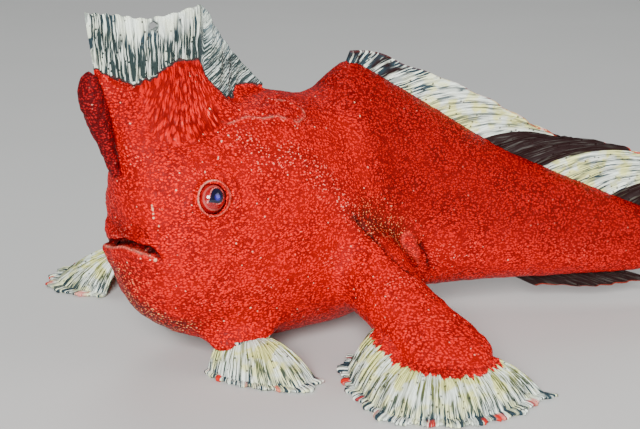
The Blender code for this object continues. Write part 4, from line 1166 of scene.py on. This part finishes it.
# Along, height, half width fore and aft, half width across
LURE = (
    (-0.2, 30.2, 0.9, 1.0), (-0.9, 32.0, 0.95, 1.1), (-1.5, 34.0, 1.1, 1.4), (-2.2, 36.4, 1.5, 1.7),
    (-3.0, 39.0, 1.8, 2.0), (-3.7, 41.2, 1.85, 2.1), (-3.9, 43.2, 1.5, 1.8), (-3.9, 44.9, 0.8, 1.1))
LURE_TRIM = (0.19, 0.12)  # room left for its warts, fore and aft and across
LURE_AROUND, LURE_ROWS = 72, 90
table = [(k / (len(LURE) - 1), *row) for k, row in enumerate(LURE)]
share = np.linspace(0.0, 1.0, LURE_ROWS + 1)
lure_along, lure_height = through(table, 1, share), through(table, 2, share)
lean = np.arctan2(np.gradient(lure_height), np.gradient(lure_along))
round_off = np.sqrt(np.clip((1.0 - share) / 0.07, 0.0, 1.0))
a = np.linspace(0.0, 2.0 * math.pi, LURE_AROUND, endpoint=False)[None, :]
fore, across = (((through(table, column, share) - trim) * round_off)[:, None]
                for column, trim in zip((3, 4), LURE_TRIM))
points = place(lure_along[:, None] + fore * np.cos(a) * np.sin(lean)[:, None], across * np.sin(a),
               lure_height[:, None] - fore * np.cos(a) * np.cos(lean)[:, None]).reshape(-1, 3)
faces = [(i * LURE_AROUND + j, i * LURE_AROUND + (j + 1) % LURE_AROUND,
          (i + 1) * LURE_AROUND + (j + 1) % LURE_AROUND, (i + 1) * LURE_AROUND + j)
         for i in range(LURE_ROWS) for j in range(LURE_AROUND)]
faces.append(tuple(reversed(range(LURE_AROUND))))
faces.append(tuple(range(LURE_ROWS * LURE_AROUND, (LURE_ROWS + 1) * LURE_AROUND)))
lure_mesh = mesh_of("lure_lobe", points, faces)
lure_mesh.update()
points = points + normals_of(lure_mesh) * (0.10 * ripple(points, 1.1, 31))[:, None]
move_points(lure_mesh, points)
lure_mesh.shade_smooth()
lure = new_object("lure_lobe", lure_mesh)

LURE_CAVITY_SHADE = (0.07, 0.001, 0.002)
LURE_RED = (0.30, 0.003, 0.006)
LURE_CROWN_HIGHLIGHT = (0.85, 0.06, 0.05)
lure_look, tree, shader, vector = new_material("lure skin")
grains = use_group(tree, granules, {"Vector": vector, "Spacing": 0.46, "Wart Spacing": 1.1})
relief = grains["Height"]
# Painted shade between the grains, and a painted highlight on their crowns
colour = tint(tree, step_up(tree, relief, 0.05, 0.5), LURE_CAVITY_SHADE, LURE_RED)
colour = tint(tree, step_up(tree, relief, 0.6, 1.0, 0.0, 0.30), colour, LURE_CROWN_HIGHLIGHT)
colour = tint(tree, times(tree, grains["Wart"], 0.6), colour, SKIN_PALE)
finish_look(tree, shader, colour, relief, 0.24, 0.9,
            step_up(tree, relief, 0.0, 1.0, 0.6, 0.4), 0.10)
lure_mesh.materials.append(lure_look)
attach(lure, "root")
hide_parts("lure")

# Floor, light and camera: a plain pale floor under soft studio light, and the camera
# at the photo's angle.

FLOOR_HALF = 2000.0
FLOOR_DARK = (0.60, 0.60, 0.58)
FLOOR_LIGHT = (0.64, 0.64, 0.62)
STUDIO_AIR = (0.80, 0.84, 0.88, 1.0)
corners = np.array([(-1, -1, 0), (1, -1, 0), (1, 1, 0), (-1, 1, 0)])
floor_mesh = mesh_of("floor", FLOOR_HALF * corners, [(0, 1, 2, 3)])
floor = new_object("floor", floor_mesh)
floor_look, tree, shader, vector = new_material("floor")
feed(tree, shader, {"Base Color": tint(tree, noise(tree, vector, 0.02), FLOOR_DARK, FLOOR_LIGHT),
                    "Roughness": 0.8})
floor_mesh.materials.append(floor_look)

world = bpy.data.worlds.new("studio")
world.use_nodes = True
feed(world.node_tree, world.node_tree.nodes["Background"], {"Color": STUDIO_AIR, "Strength": 0.28})
bpy.context.scene.world = world

MIDDLE = Vector((0.0, 0.0, 0.02))
LIGHTS = (
    # name, place, size, power
    ("key", (-0.32, -0.47, 0.26), 0.20, 7.1),
    ("fill", (0.42, -0.40, 0.24), 0.40, 1.2),
    ("back", (0.15, 0.45, 0.60), 0.35, 1.5),
)
for name, at, size, power in LIGHTS:
    lamp = bpy.data.lights.new(name, "AREA")
    lamp.size = size
    lamp.energy = power
    lamp_object = new_object(name, lamp)
    lamp_object.location = at
    lamp_object.rotation_euler = (MIDDLE - Vector(at)).to_track_quat("-Z", "Y").to_euler()

CAMERA_AT = Vector((AXIS_START[0] - 59.210, AXIS_START[1] - 178.008, 75.789)) * MM
CAMERA_AIM = Vector((AXIS_START[0] + 29.3, AXIS_START[1] - 4.2, 21.7)) * MM
camera = bpy.data.cameras.new("camera")
camera.sensor_width = 36.0
camera.lens = 77.6
camera.clip_start = 0.01
camera_object = new_object("camera", camera)
camera_object.location = CAMERA_AT
camera_object.rotation_euler = (CAMERA_AIM - CAMERA_AT).to_track_quat("-Z", "Y").to_euler()
bpy.context.scene.camera = camera_object
